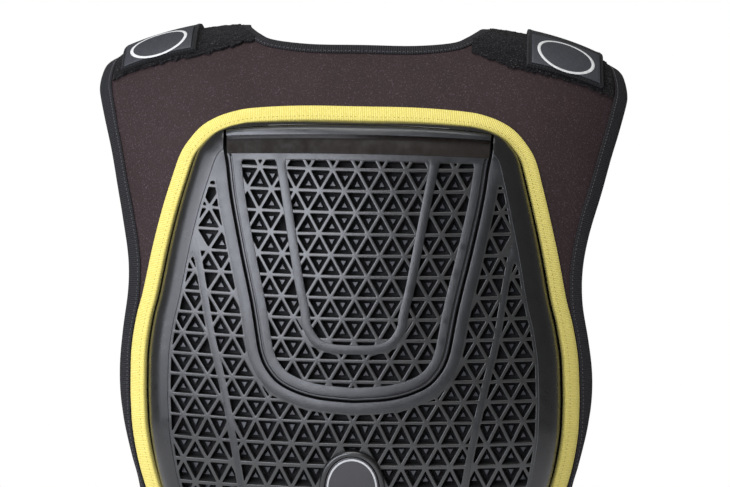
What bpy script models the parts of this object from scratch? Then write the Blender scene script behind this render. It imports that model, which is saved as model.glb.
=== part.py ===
"""Back protector harness for riding: a cloth back panel with a pierced outer shell,
shoulder straps and a waist belt, as one assembly of separate pieces.

The frame: the wearer's back faces -Y, +X is to the right of someone who looks at that
back, and +Z is up. The origin is midway between the shoulder straps at crest height.
All sizes below are millimetres. "across" is measured from the middle, and "down" is the
length along the middle of the back from the shoulder crest (negative on the chest).
"""
import math
from bisect import bisect_right

import bmesh
import bpy
from mathutils import Vector
from mathutils.geometry import convex_hull_2d, delaunay_2d_cdt

MM = 0.001

# The wearer's torso, which every cloth piece follows
BACK_DEPTH = 138.0
CHEST_DEPTH = 120.0
TORSO_HALF_WIDTH = 210.0
TORSO_SQUARENESS = 2.5
BEND_DROP = 290.0
CREST_SETBACK = 20.0
SHOULDER_SHARPNESS = 0.8
CREST_RISE = 2.0
SHOULDER_FALL = 22.0
SHOULDER_SPAN = 176.0
SHOULDER_POWER = 3.5
TORSO_DROP = 560.0

# The back panel and its edges
PANEL_LENGTH = 608.0
PANEL_HALF_WIDTH = 199.0
PANEL_CLOTH = 3.0
WINDOW_LENGTH = 486.0
WINDOW_HALF_WIDTH = 172.0
WINDOW_TOP = 102.0
BINDING_CLOTH = 0.8
EDGE_BINDING_WIDTH = 8.0
WINDOW_BINDING_WIDTH = 10.0
EDGE_STEP = 20.0
SHEET_GRID = 30.0
PAD_GRID = 34.0
INSERT_GRID = 20.0

# The shell and its insert
SHELL_RISE = 22.0
SHELL_CURVE_RADIUS = 390.0
SHELL_DEPTH = 10.0
FLANGE_OVERLAP = 8.5
FLANGE_THICKNESS = 2.0
RIM_WIDTH = 17.0
RIM_WALL = 2.5
RIM_BENDS = (0.0, 0.12, 0.4)
INSERT_HALF_WIDTH = 102.0
INSERT_BOTTOM = 324.0
INSERT_TOP = 122.0
GROOVE = 2.8
INSERT_RISE = 1.5
OUTER_BAND = 9.5
BORDER_BAND = 7.5
INNER_BAND = 7.0
SIDE_RIB = 6.0
LIP_WIDTH = 6.0
RECESS_WIDTH = 12.5
RECESS_DEPTH = 3.0
RECESS_SLOPE = 0.8
HEAD_BAR = 5.0
LATTICE_PITCH = 41.0
LATTICE_ROW = 34.5
LATTICE_START = 152.8
LATTICE_BAR = 3.2
SMALLEST_GAP = 6.0

# The badge seat low on the shell
BADGE_DOWN = 385.0
BADGE_RADIUS = 20.5
COLLAR_RADIUS = 25.0
COLLAR_RISE = 4.5
BADGE_RISE = 3.0

# The pad behind the shell
PAD_GAP = 1.2
PAD_SINK = 2.0

# Shoulders, straps and belt
STRAP_CLOTH = 3.0
STRAP_WIDTH = 56.0
STRAP_OUT = 148.0
STRAP_TAB_END = 50.0
SHOULDER_STEP = 7.0
CHEST_STEP = 28.0
STRAP_LENGTH = 512.0
LOOP_PILE = 1.5
LOOP_MARGIN = 2.0
LOOP_BACK_END = 49.0
WING_FRONT = -26.0
PATCH_CLOTH = 1.2
PATCH_HEM = 3.0
PATCH_LENGTH = 38.0
BELT_CLOTH = 3.0
BELT_WIDTH = 110.0
BELT_TOP_DROP = 385.0
BELT_OVERLAP = 80.0
LAP_SLOPE = 25.0
BELT_STEPS = 48
CLOSURE_LENGTH = 60.0
CLOSURE_MARGIN = 8.0
CLOSURE_CLOTH = 2.0

GAP = 0.3
CLOTH_GAP = 0.45
SOFT_GAP = 0.7

# Torso below the bend: drop, back depth and half width as shares of their sizes
TORSO_ROWS = (
    (0.518, 1.00, 1.00),
    (0.571, 0.975, 0.99),
    (0.616, 0.915, 0.98),
    (0.661, 0.83, 0.97),
    (0.714, 0.735, 0.95),
    (0.768, 0.67, 0.93),
    (0.821, 0.635, 0.91),
    (0.893, 0.615, 0.90),
    (1.000, 0.62, 0.895),
)

# Neckline of the panel, from the middle to the corner: across, down
NECK_ROWS = (
    (0.00, 0.0747),
    (0.20, 0.0745),
    (0.345, 0.065),
    (0.402, 0.048),
    (0.437, 0.022),
    (0.455, -0.015),
)

# Armhole, side and lower edge of the panel, from the shoulder to the middle: across, down
SIDE_ROWS = (
    (0.955, -0.030),
    (0.975, 0.040),
    (0.990, 0.085),
    (0.998, 0.112),
    (0.985, 0.154),
    (0.955, 0.204),
    (0.927, 0.251),
    (0.895, 0.303),
    (0.870, 0.356),
    (0.868, 0.403),
    (0.889, 0.457),
    (0.900, 0.501),
    (0.896, 0.541),
    (0.881, 0.580),
    (0.850, 0.625),
    (0.827, 0.655),
    (0.800, 0.710),
    (0.755, 0.775),
    (0.670, 0.860),
    (0.520, 0.930),
    (0.300, 0.980),
    (0.000, 1.000),
)

# Outer edge of the binding round the shell, from the top middle: across, down from its top
WINDOW_ROWS = (
    (0.000, 0.000),
    (0.250, 0.000),
    (0.480, 0.000),
    (0.560, 0.004),
    (0.628, 0.012),
    (0.692, 0.027),
    (0.744, 0.047),
    (0.785, 0.070),
    (0.820, 0.108),
    (0.860, 0.157),
    (0.901, 0.219),
    (0.942, 0.294),
    (0.971, 0.336),
    (0.994, 0.389),
    (1.000, 0.440),
    (1.000, 0.481),
    (0.983, 0.535),
    (0.936, 0.605),
    (0.855, 0.695),
    (0.745, 0.782),
    (0.600, 0.867),
    (0.420, 0.942),
    (0.220, 0.986),
    (0.000, 1.000),
)

# Middle of the groove round the insert, from the top: across, down
GROOVE_ROWS = (
    (0.998, 0.350),
    (0.996, 0.389),
    (0.990, 0.434),
    (0.969, 0.471),
    (0.936, 0.544),
    (0.859, 0.658),
    (0.810, 0.723),
    (0.762, 0.789),
    (0.723, 0.858),
    (0.700, 0.893),
    (0.655, 0.926),
    (0.569, 0.958),
    (0.451, 0.978),
    (0.324, 0.990),
    (0.196, 0.996),
    (0.000, 1.000),
)

# Middle of the inner U band on the insert, from the head bar: across, down
INNER_BAND_ROWS = (
    (0.585, 0.445),
    (0.525, 0.541),
    (0.421, 0.721),
    (0.373, 0.789),
    (0.348, 0.832),
    (0.270, 0.866),
    (0.160, 0.878),
    (0.000, 0.880),
)

# Middle of each side rib, from the rim down: across, down as shares of the window
RIB_ROWS = (
    (0.715, 0.218),
    (0.685, 0.272),
    (0.640, 0.362),
    (0.593, 0.430),
    (0.550, 0.500),
    (0.503, 0.584),
    (0.440, 0.690),
    (0.350, 0.830),
    (0.270, 0.930),
)

# Shoulder strap, from its tab on the back to the belt: down, across, width, lift
STRAP_ROWS = (
    (STRAP_TAB_END, 1.00, 1.00, 1.0),
    (0.0, 1.00, 1.00, 1.0),
    (-0.06 * STRAP_LENGTH, 0.99, 0.98, 1.0),
    (-0.14 * STRAP_LENGTH, 0.96, 0.92, 0.65),
    (-0.30 * STRAP_LENGTH, 0.90, 0.88, 0.35),
    (-0.55 * STRAP_LENGTH, 0.82, 0.88, 0.15),
    (-0.75 * STRAP_LENGTH, 0.76, 0.88, 0.0),
    (STRAP_TAB_END - STRAP_LENGTH, 0.72, 0.88, 0.0),
)


def read_rows(rows, place, column):
    """Smooth value of a column at a place along the first column of the rows."""
    ordered = rows if rows[0][0] < rows[-1][0] else rows[::-1]
    place = min(max(place, ordered[0][0]), ordered[-1][0])
    index = min(bisect_right([row[0] for row in ordered], place), len(ordered) - 1)
    below, above = ordered[index - 1], ordered[index]
    span = above[0] - below[0]
    share = (place - below[0]) / span
    slopes = []
    for corner in (index - 1, index):
        near = ordered[max(corner - 1, 0)]
        far = ordered[min(corner + 1, len(ordered) - 1)]
        slopes.append((far[column] - near[column]) / (far[0] - near[0]) * span)
    rest = 1 - share
    return (below[column] * (1 + 2 * share) * rest ** 2 + slopes[0] * share * rest ** 2
            + above[column] * (3 - 2 * share) * share ** 2 - slopes[1] * rest * share ** 2)


def torso_section(across, drop, depth):
    """How far the torso stands out at one height, at this distance from the middle."""
    half_width = TORSO_HALF_WIDTH * read_rows(TORSO_ROWS, drop / TORSO_DROP, 2)
    share = min(0.995, abs(across) / half_width)
    return depth * (1 - share ** TORSO_SQUARENESS) ** (1 / TORSO_SQUARENESS)


def back_depth(drop):
    return BACK_DEPTH * read_rows(TORSO_ROWS, drop / TORSO_DROP, 1)


def torso_turn(across, turn):
    """Point of the torso: turn is 1 where the back starts to bend over the shoulder,
    0 at the crest and -1 on the chest at the height of the bend."""
    on_back = turn > 0
    beyond = max(abs(turn), 1.0)
    drop = BEND_DROP * beyond
    depth = back_depth(drop) if on_back else CHEST_DEPTH
    out = torso_section(across, drop, depth)
    if beyond > 1:
        return Vector((across, -out if on_back else out, -drop))
    crest = CREST_RISE - SHOULDER_FALL * (abs(across) / SHOULDER_SPAN) ** SHOULDER_POWER
    angle = abs(turn) * math.pi / 2
    reach = out - CREST_SETBACK if on_back else out + CREST_SETBACK
    sweep = math.sin(angle) ** SHOULDER_SHARPNESS * reach
    height = (crest + BEND_DROP) * max(0.0, math.cos(angle)) ** SHOULDER_SHARPNESS
    return Vector((across, -CREST_SETBACK + (-sweep if on_back else sweep), height - BEND_DROP))


def measure_middle(steps=600, reach=2.0):
    """Length along the middle of the torso for each turn, zero at the crest."""
    turns = [reach * (2 * step / steps - 1) for step in range(steps + 1)]
    points = [torso_turn(0.0, turn) for turn in turns]
    lengths = [0.0]
    for before, after in zip(points, points[1:]):
        lengths.append(lengths[-1] + (after - before).length)
    crest_length = lengths[steps // 2]
    return turns, [length - crest_length for length in lengths]


TURNS, DOWNS = measure_middle()


def turn_at(down):
    index = min(max(bisect_right(DOWNS, down), 1), len(DOWNS) - 1)
    share = (down - DOWNS[index - 1]) / (DOWNS[index] - DOWNS[index - 1])
    return TURNS[index - 1] + (TURNS[index] - TURNS[index - 1]) * share


def on_torso(across, down, lift=0.0):
    """Point over the torso, lifted square off it."""
    turn = turn_at(down)
    point = torso_turn(across, turn)
    if not lift:
        return point
    step = 0.004
    side_step = 1.0
    along = torso_turn(across, turn - step) - torso_turn(across, turn + step)
    sideways = torso_turn(across + side_step, turn) - torso_turn(across - side_step, turn)
    return point + sideways.cross(along).normalized() * lift


def through(points, spacing):
    """Smooth curve through flat points, with its own points at an even spacing."""
    ends = [points[0] * 2 - points[1]] + list(points) + [points[-1] * 2 - points[-2]]
    fine = []
    for before, start, end, after in zip(ends, ends[1:], ends[2:], ends[3:]):
        for step in range(8):
            t = step / 8
            fine.append(0.5 * (2 * start + (end - before) * t
                               + (2 * before - 5 * start + 4 * end - after) * t * t
                               + (3 * start - before - 3 * end + after) * t ** 3))
    fine.append(points[-1].copy())
    return spaced(fine, spacing)


def spaced(points, spacing):
    """Points at an even spacing along a chain of flat points, both ends kept."""
    lengths = [0.0]
    for before, after in zip(points, points[1:]):
        lengths.append(lengths[-1] + (after - before).length)
    count = max(2, round(lengths[-1] / spacing))
    result = []
    for step in range(count + 1):
        target = lengths[-1] * step / count
        index = min(max(bisect_right(lengths, target), 1), len(lengths) - 1)
        share = (target - lengths[index - 1]) / max(1e-9, lengths[index] - lengths[index - 1])
        result.append(points[index - 1].lerp(points[index], share))
    return result


def flat_rows(rows, width, length, start=0.0):
    """Rows of shares as flat points: x is across and y is minus the length down."""
    return [Vector((across * width, -(start + down * length))) for across, down in rows]


def both_sides(half):
    """Closed loop from a right half that runs from the top middle to the bottom middle."""
    left = [Vector((-point.x, point.y)) for point in half if point.x > 1e-6]
    return half + left[::-1]


def moved_in(line, distance):
    """Right half of an outline, walked downwards, moved towards its inside."""
    distances = distance if isinstance(distance, list) else [distance] * len(line)
    moved = []
    for index, point in enumerate(line):
        along = line[min(index + 1, len(line) - 1)] - line[max(index - 1, 0)]
        inward = Vector((along.y, -along.x)).normalized()
        place = point + inward * distances[index]
        if point.x < 1e-6:
            place.x = 0.0
        moved.append(place)
    return moved


def loop_area(loop):
    """Area of a flat closed loop, positive where it runs anticlockwise."""
    return sum(a.x * b.y - a.y * b.x for a, b in zip(loop, loop[1:] + loop[:1])) / 2


def edge_distance(point, loop):
    """Distance from a flat point to a closed loop, positive inside."""
    nearest = 1e9
    inside = False
    for start, end in zip(loop, loop[1:] + loop[:1]):
        along = end - start
        share = max(0.0, min(1.0, (point - start).dot(along) / max(1e-9, along.length_squared)))
        nearest = min(nearest, (point - start - along * share).length)
        if (start.y > point.y) != (end.y > point.y):
            crossing = start.x + (point.y - start.y) / (end.y - start.y) * (end.x - start.x)
            if point.x < crossing:
                inside = not inside
    return nearest if inside else -nearest


def panel_half():
    neck = through(flat_rows(NECK_ROWS, PANEL_HALF_WIDTH, PANEL_LENGTH), EDGE_STEP)
    side = through(flat_rows(SIDE_ROWS, PANEL_HALF_WIDTH, PANEL_LENGTH), EDGE_STEP)
    front_edge = spaced([Vector((neck[-1].x, -WING_FRONT)), Vector((side[0].x, -WING_FRONT))],
                        EDGE_STEP)
    return neck[:-1] + front_edge + side[1:]


def window_half(distance):
    rows = flat_rows(WINDOW_ROWS, WINDOW_HALF_WIDTH, WINDOW_LENGTH, WINDOW_TOP)
    return moved_in(through(rows, EDGE_STEP), distance)


def groove_half(distance):
    """Right half of the groove round the insert, from its top, moved inwards."""
    rows = flat_rows(GROOVE_ROWS, INSERT_HALF_WIDTH, INSERT_BOTTOM)
    return moved_in(through(rows, EDGE_STEP * 0.7), distance)


def inner_band_half(distance):
    rows = flat_rows(INNER_BAND_ROWS, INSERT_HALF_WIDTH, INSERT_BOTTOM)
    return moved_in(through(rows, EDGE_STEP * 0.6), distance)


def rib_edge(distance):
    """One edge of the right side rib, from the rim to the shell's lower end."""
    rows = flat_rows(RIB_ROWS, WINDOW_HALF_WIDTH, WINDOW_LENGTH, WINDOW_TOP)
    edge = moved_in(through(rows, EDGE_STEP), distance)
    return [point for point in edge if edge_distance(point, LATTICE_LOOP) > 1]


def u_outline(distance, top):
    """Closed U that follows the groove, with a straight top."""
    side = [point for point in groove_half(distance) if point.y < -top - 1]
    corner = Vector((side[0].x, -top))
    return both_sides(spaced([Vector((0, -top)), corner], EDGE_STEP) + side)


PANEL_HALF = panel_half()
PANEL_LOOP = both_sides(PANEL_HALF)
WINDOW_LOOP = both_sides(window_half(0))
OPENING_LOOP = both_sides(window_half(WINDOW_BINDING_WIDTH))
UNDER_PANEL = -BINDING_CLOTH - CLOTH_GAP - SOFT_GAP
BELT_SEAT = UNDER_PANEL - FLANGE_THICKNESS - 3 * SOFT_GAP
RIM_FOOT = WINDOW_BINDING_WIDTH - UNDER_PANEL
LATTICE_EDGE = RIM_FOOT + RIM_WIDTH + RIM_WALL
LATTICE_LOOP = both_sides(window_half(LATTICE_EDGE))


def rim_rise(across, down, margin):
    """How far the shell has risen from its flange, from 0 at the rim's foot to 1."""
    share = (edge_distance(Vector((across, -down)), OPENING_LOOP) - margin) / RIM_WIDTH
    share = max(0.0, min(1.0, share))
    return math.sqrt(1 - (1 - share) ** 2)


def on_shell(across, down, sink=0.0, wall=0.0, flange=UNDER_PANEL):
    """Point of the shell's dome, blended into its flange at the rim."""
    rise = rim_rise(across, down, wall - UNDER_PANEL)
    middle = on_torso(0.0, down, SHELL_RISE - sink)
    fall = SHELL_CURVE_RADIUS - math.sqrt(SHELL_CURVE_RADIUS ** 2 - across ** 2)
    dome = Vector((across, middle.y + fall, middle.z))
    return on_torso(across, down, flange).lerp(dome, rise)


def behind_shell(across, down, sink=0.0):
    """Point of the shell's inner face, or that far behind it."""
    return on_shell(across, down, SHELL_DEPTH + sink, RIM_WALL,
                    UNDER_PANEL - FLANGE_THICKNESS - sink)


def new_object(name, bm, colour, roughness):
    """One named object with its own material, from a bmesh in millimetres."""
    bmesh.ops.triangulate(bm, faces=bm.faces)
    bmesh.ops.scale(bm, vec=(MM, MM, MM), verts=bm.verts)
    mesh = bpy.data.meshes.new(name)
    bm.to_mesh(mesh)
    bm.free()
    mesh.shade_smooth()
    mesh.set_sharp_from_angle(angle=math.radians(35))
    material = bpy.data.materials.new(name)
    material.use_nodes = True
    shader = material.node_tree.nodes["Principled BSDF"]
    shader.inputs["Base Color"].default_value = (*colour, 1)
    shader.inputs["Roughness"].default_value = roughness
    mesh.materials.append(material)
    piece = bpy.data.objects.new(name, mesh)
    bpy.context.scene.collection.objects.link(piece)
    return piece


def grid_points(outline, barriers, spacing):
    """Inside points of a sheet, on even rows, clear of its edges, holes and creases."""
    lowest = min(point.y for point in outline)
    height = max(point.y for point in outline) - lowest
    leftmost = min(point.x for point in outline)
    width = max(point.x for point in outline) - leftmost
    rows = math.ceil(height / spacing)
    columns = math.ceil(width / spacing)
    taken = [point for loop in barriers for point in loop]
    found = []
    for row in range(1, rows):
        for column in range(1, columns):
            point = Vector((leftmost + width * column / columns, lowest + height * row / rows))
            if edge_distance(point, outline) < spacing / 2:
                continue
            if all((point - other).length > spacing / 2 for other in taken):
                found.append(point)
    return found


def plate(name, outline, outer_face, inner_face, colour, roughness,
          grid=None, holes=(), creases=()):
    """Closed sheet between two faces that are functions of across and down: its flat
    outline, the holes through it, and the lines where its faces bend."""
    flat = []
    edges = []
    for loop in (outline, *holes, *creases):
        first = len(flat)
        flat += loop
        edges += [(first + i, first + (i + 1) % len(loop)) for i in range(len(loop))]
    if grid:
        flat += grid_points(outline, (*holes, *creases), grid)
    points, _, triangles, *_ = delaunay_2d_cdt(flat, edges, [], 0, 1e-4)
    kept = []
    for triangle in triangles:
        middle = sum((points[corner] for corner in triangle), Vector((0, 0))) / 3
        in_hole = any(edge_distance(middle, hole) > 0 for hole in holes)
        if edge_distance(middle, outline) > 0 and not in_hole:
            kept.append(triangle)
    bm = bmesh.new()
    outer = {}
    inner = {}
    for index in sorted({corner for tri in kept for corner in tri}):
        across, down = points[index].x, -points[index].y
        outer[index] = bm.verts.new(outer_face(across, down))
        inner[index] = bm.verts.new(inner_face(across, down))
    borders = {(a, b) for tri in kept for a, b in zip(tri, tri[1:] + tri[:1])}
    for tri in kept:
        bm.faces.new([outer[index] for index in tri])
        bm.faces.new([inner[index] for index in reversed(tri)])
    for a, b in sorted(borders):
        if (b, a) not in borders:
            bm.faces.new((outer[b], outer[a], inner[a], inner[b]))
    return new_object(name, bm, colour, roughness)


def loft(name, rings, colour, roughness, closed=False):
    """Closed body through rings of equal count, round in a loop or with capped ends."""
    bm = bmesh.new()
    sections = [[bm.verts.new(point) for point in ring] for ring in rings]
    pairs = list(zip(sections, sections[1:]))
    if closed:
        pairs.append((sections[-1], sections[0]))
    else:
        bm.faces.new(sections[0])
        bm.faces.new(sections[-1][::-1])
    for near, far in pairs:
        for index in range(len(near)):
            after = (index + 1) % len(near)
            bm.faces.new((near[index], far[index], far[after], near[after]))
    bmesh.ops.recalc_face_normals(bm, faces=bm.faces)
    return new_object(name, bm, colour, roughness)


def binding(name, half, legs, side, colour):
    """Folded tape round an edge of the panel, with a leg on each face of the cloth. side
    is 1 where the cloth lies inside the outline, and -1 where it lies outside."""
    over = PANEL_CLOTH + CLOTH_GAP
    tip = BINDING_CLOTH + CLOTH_GAP
    profile = (
        (True, 0, over + BINDING_CLOTH), (False, -tip, over + BINDING_CLOTH),
        (False, -tip, -tip), (True, 0, -tip), (True, 0, -CLOTH_GAP),
        (False, -CLOTH_GAP, -CLOTH_GAP), (False, -CLOTH_GAP, over), (True, 0, over),
    )
    lines = []
    for on_leg, reach, lift in profile:
        reaches = [side * (leg if on_leg else reach) for leg in legs]
        lines.append([on_torso(point.x, -point.y, lift)
                      for point in both_sides(moved_in(half, reaches))])
    return loft(name, list(zip(*lines)), colour, 0.8, closed=True)


def draw_in(loop, distance):
    """A cell's corners moved in from both of their sides by the same distance. Corners of
    short sides, which would cross their neighbours, are left out."""
    corners = []
    for index, point in enumerate(loop):
        before = (point - loop[index - 1]).normalized()
        after = (loop[(index + 1) % len(loop)] - point).normalized()
        inward = Vector((-before.y - after.y, before.x + after.x))
        corner = point + inward * distance / max(0.1, 1 + before.dot(after))
        if edge_distance(corner, loop) > distance * 0.95:
            corners.append(corner)
    if len(corners) < 3:
        return []
    hull = [corners[index] for index in convex_hull_2d(corners)]
    return [point for index, point in enumerate(hull)
            if (point - hull[index - 1]).length > distance]


def lattice_gaps(fields):
    """Cells of the triangular lattice in each flat field, drawn in by half a bar."""
    lean = LATTICE_PITCH / 2 / LATTICE_ROW
    reach = math.ceil(PANEL_LENGTH / LATTICE_ROW)
    cuts = [((0, -LATTICE_START - row * LATTICE_ROW, 0), (0, 1, 0)) for row in range(-2, reach)]
    for column in range(-reach, reach):
        start = (column * LATTICE_PITCH, -LATTICE_START, 0)
        cuts += [(start, (1, lean, 0)), (start, (1, -lean, 0))]
    badge = Vector((0, -BADGE_DOWN))
    gaps = []
    for field in fields:
        bm = bmesh.new()
        bm.faces.new([bm.verts.new((point.x, point.y, 0)) for point in field])
        for place, normal in cuts:
            bmesh.ops.bisect_plane(bm, geom=bm.verts[:] + bm.edges[:] + bm.faces[:],
                                   dist=0.01, plane_co=place, plane_no=normal)
        bmesh.ops.recalc_face_normals(bm, faces=bm.faces)
        for face in bm.faces:
            loop = [Vector(vert.co.xy) for vert in face.verts]
            if face.normal.z < 0:
                loop.reverse()
            perimeter = sum(edge.calc_length() for edge in face.edges)
            roomy = 2 * face.calc_area() / perimeter > SMALLEST_GAP
            if roomy and edge_distance(badge, loop) < -COLLAR_RADIUS - GROOVE:
                gap = draw_in(loop, LATTICE_BAR / 2)
                if loop_area(gap) > SMALLEST_GAP ** 2:
                    gaps.append(gap)
        bm.free()
    return gaps


def box_loop(half_width, top, bottom):
    """Flat closed rectangle about the middle, with points along its sides."""
    corners = [Vector((x, -down)) for x, down in ((-half_width, top), (half_width, top),
                                                  (half_width, bottom), (-half_width, bottom))]
    return [point for start, end in zip(corners, corners[1:] + corners[:1])
            for point in spaced([start, end], EDGE_STEP)[:-1]]


def mirrored(points):
    return [Vector((-point.x, point.y)) for point in points]


def shell_fields():
    """Flat outlines of the shell's lattice: one at each side and one in the middle."""
    outer = window_half(LATTICE_EDGE)
    band = [point for point in groove_half(-GROOVE / 2 - OUTER_BAND)
            if edge_distance(point, LATTICE_LOOP) > 2]
    rib_out = rib_edge(-SIDE_RIB / 2)
    rib_in = rib_edge(SIDE_RIB / 2)
    beside = [p for p in outer if rib_out[-1].y < p.y < rib_out[0].y and p.x > rib_out[-1].x]
    above = [p for p in outer if rib_in[0].y < p.y < band[0].y and p.x > band[0].x]
    below = [p for p in outer if p.y < rib_in[-1].y and p.x < rib_in[-1].x]
    side = beside + rib_out[::-1]
    half = above + rib_in + below
    middle = half + mirrored(half[:-1])[::-1] + mirrored(band) + band[-2::-1]
    return [side, mirrored(side)[::-1], middle]


def insert_fields():
    """Flat outlines of the insert's lattice: inside its inner band, and the U round it."""
    top = -(INSERT_TOP + LIP_WIDTH + RECESS_WIDTH + HEAD_BAR)
    lines = []
    for line in (inner_band_half(INNER_BAND / 2), inner_band_half(-INNER_BAND / 2),
                 groove_half(GROOVE / 2 + BORDER_BAND)):
        kept = [point for point in line if point.y < top - 1]
        lines.append([Vector((kept[0].x, top))] + kept)
    inside, around, border = lines
    ring = border + mirrored(border[:-1])[::-1] + mirrored(around) + around[-2::-1]
    return [both_sides(inside), ring]


def build_panel():
    def legs(half):
        return [min(EDGE_BINDING_WIDTH, -edge_distance(point, WINDOW_LOOP) - 1) for point in half]

    edge_legs = legs(PANEL_HALF)
    edge_crease = both_sides(moved_in(PANEL_HALF, edge_legs))
    plate("back_panel", PANEL_LOOP, lambda a, d: on_torso(a, d, PANEL_CLOTH), on_torso,
          (0.045, 0.031, 0.034), 0.9, grid=SHEET_GRID, holes=[OPENING_LOOP],
          creases=[WINDOW_LOOP, edge_crease])
    binding("edge_binding", PANEL_HALF, edge_legs, 1, (0.012, 0.012, 0.013))
    opening_half = window_half(WINDOW_BINDING_WIDTH)
    window_legs = [WINDOW_BINDING_WIDTH] * len(opening_half)
    binding("window_binding", opening_half, window_legs, -1, (0.85, 0.68, 0.1))


def build_shell():
    black = (0.02, 0.02, 0.021)
    flange_edge = both_sides(window_half(WINDOW_BINDING_WIDTH - FLANGE_OVERLAP))
    opening = u_outline(-GROOVE / 2, INSERT_TOP - GROOVE)
    bends = [both_sides(window_half(RIM_FOOT + share * RIM_WIDTH)) for share in RIM_BENDS]
    plate("outer_shell", flange_edge, on_shell, behind_shell, black, 0.4,
          grid=SHEET_GRID, holes=[opening, *lattice_gaps(shell_fields())],
          creases=[*bends, LATTICE_LOOP, badge_ring(COLLAR_RADIUS), badge_ring(BADGE_RADIUS)])
    outline = u_outline(GROOVE / 2, INSERT_TOP)
    recess_half = INSERT_HALF_WIDTH - GROOVE - BORDER_BAND
    recess_top = INSERT_TOP + LIP_WIDTH
    recess = [box_loop(recess_half - slope, recess_top + slope,
                       recess_top + RECESS_WIDTH - slope) for slope in (0, RECESS_SLOPE)]

    def relief(across, down):
        deep = edge_distance(Vector((across, -down)), recess[0]) > RECESS_SLOPE / 2
        return on_shell(across, down, RECESS_DEPTH if deep else -INSERT_RISE)

    plate("insert_plate", outline, relief, behind_shell, black, 0.4, grid=INSERT_GRID,
          holes=lattice_gaps(insert_fields()), creases=recess)
    plate("impact_pad", LATTICE_LOOP, lambda a, d: behind_shell(a, d, PAD_GAP),
          lambda a, d: on_torso(a, d, -PAD_SINK), (0.02, 0.02, 0.02), 0.9, grid=PAD_GRID)


def badge_ring(radius, count=28):
    """Flat circle about the badge's middle."""
    turns = [2 * math.pi * step / count for step in range(count)]
    return [Vector((radius * math.cos(t), radius * math.sin(t) - BADGE_DOWN)) for t in turns]


def build_badge():
    plate("badge_collar", badge_ring(COLLAR_RADIUS), lambda a, d: on_shell(a, d, -COLLAR_RISE),
          lambda a, d: on_shell(a, d, -CLOTH_GAP), (0.02, 0.02, 0.021), 0.4,
          holes=[badge_ring(BADGE_RADIUS + GAP)])
    plate("badge_disc", badge_ring(BADGE_RADIUS), lambda a, d: on_shell(a, d, -BADGE_RISE),
          lambda a, d: on_shell(a, d, -CLOTH_GAP), (0.03, 0.03, 0.03), 0.4, grid=10)


def stations(start, end, step):
    """Places from one length down to another, each whole step and both ends."""
    first = math.floor(start / step + 0.5) - 1
    last = math.ceil(end / step - 0.5) + 1
    inner = [step * number for number in range(first, last - 1, -1)]
    return [start] + [place for place in inner if start - 1 > place > end + 1] + [end]


def ribbon(name, places, reach, lift, thickness, colour, columns=5):
    """Closed strip of cloth over the torso. reach gives its two edges at each place down
    its length, and lift how far its inner face stands off the torso there."""
    rings = []
    for down in places:
        near, far = reach(down)
        acrosses = [near + (far - near) * column / (columns - 1) for column in range(columns)]
        rings.append([on_torso(across, down, lift(down) + thickness) for across in acrosses]
                     + [on_torso(across, down, lift(down)) for across in reversed(acrosses)])
    return loft(name, rings, colour, 0.9)


def build_shoulder(side, label):
    black = (0.012, 0.012, 0.013)
    pile_seat = PANEL_CLOTH + SOFT_GAP
    strap_seat = pile_seat + LOOP_PILE + SOFT_GAP
    margin = EDGE_BINDING_WIDTH + LOOP_MARGIN
    inner = PANEL_HALF_WIDTH * NECK_ROWS[-1][0] + margin
    outer = PANEL_HALF_WIDTH * SIDE_ROWS[0][0] - margin
    ribbon("shoulder_loop_" + label, stations(LOOP_BACK_END, WING_FRONT + margin, SHOULDER_STEP),
           lambda down: (side * inner, side * outer), lambda down: pile_seat, LOOP_PILE,
           black, columns=8)

    def strap_edges(down):
        middle = STRAP_OUT * read_rows(STRAP_ROWS, down, 1)
        half = STRAP_WIDTH / 2 * read_rows(STRAP_ROWS, down, 2)
        return side * (middle - half), side * (middle + half)

    def strap_lift(down):
        share = read_rows(STRAP_ROWS, down, 3)
        return BELT_SEAT + SOFT_GAP + (strap_seat - BELT_SEAT - SOFT_GAP) * share

    on_chest = WING_FRONT - SHOULDER_STEP
    places = stations(STRAP_TAB_END, on_chest, SHOULDER_STEP)
    places += stations(on_chest, STRAP_TAB_END - STRAP_LENGTH, CHEST_STEP)[1:]
    ribbon("strap_" + label, places, strap_edges,
           strap_lift, STRAP_CLOTH, black)
    half = STRAP_WIDTH / 2 - PATCH_HEM
    patch_end = STRAP_TAB_END - PATCH_HEM
    ribbon("tab_patch_" + label, stations(patch_end, patch_end - PATCH_LENGTH, SHOULDER_STEP),
           lambda down: (side * (STRAP_OUT - half), side * (STRAP_OUT + half)),
           lambda down: strap_seat + STRAP_CLOTH + GAP, PATCH_CLOTH, (0.06, 0.06, 0.065))


def around_waist(angle, drop, lift):
    """Point round the torso: angle 0 at the middle of the back, pi at the front."""
    half_width = TORSO_HALF_WIDTH * read_rows(TORSO_ROWS, drop / TORSO_DROP, 2)
    side, fore = math.sin(angle), -math.cos(angle)
    depth = back_depth(drop) if fore < 0 else CHEST_DEPTH
    power = 2 / TORSO_SQUARENESS
    point = Vector((math.copysign(abs(side) ** power, side) * half_width,
                    math.copysign(abs(fore) ** power, fore) * depth, -drop))
    square = TORSO_SQUARENESS - 1
    out = Vector((math.copysign(abs(point.x / half_width) ** square, side) / half_width,
                  math.copysign(abs(point.y / depth) ** square, fore) / depth, 0))
    return point + out.normalized() * lift


def belt_ring(angle, lift, thickness, top, width, rows=3):
    drops = [top + width * row / (rows - 1) for row in range(rows)]
    return ([around_waist(angle, drop, lift + thickness) for drop in drops]
            + [around_waist(angle, drop, lift) for drop in reversed(drops)])


def front_angle(reach):
    """Turn round the torso that reaches this far across, at either end of the middle."""
    return math.asin((reach / TORSO_HALF_WIDTH) ** (TORSO_SQUARENESS / 2))


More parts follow.
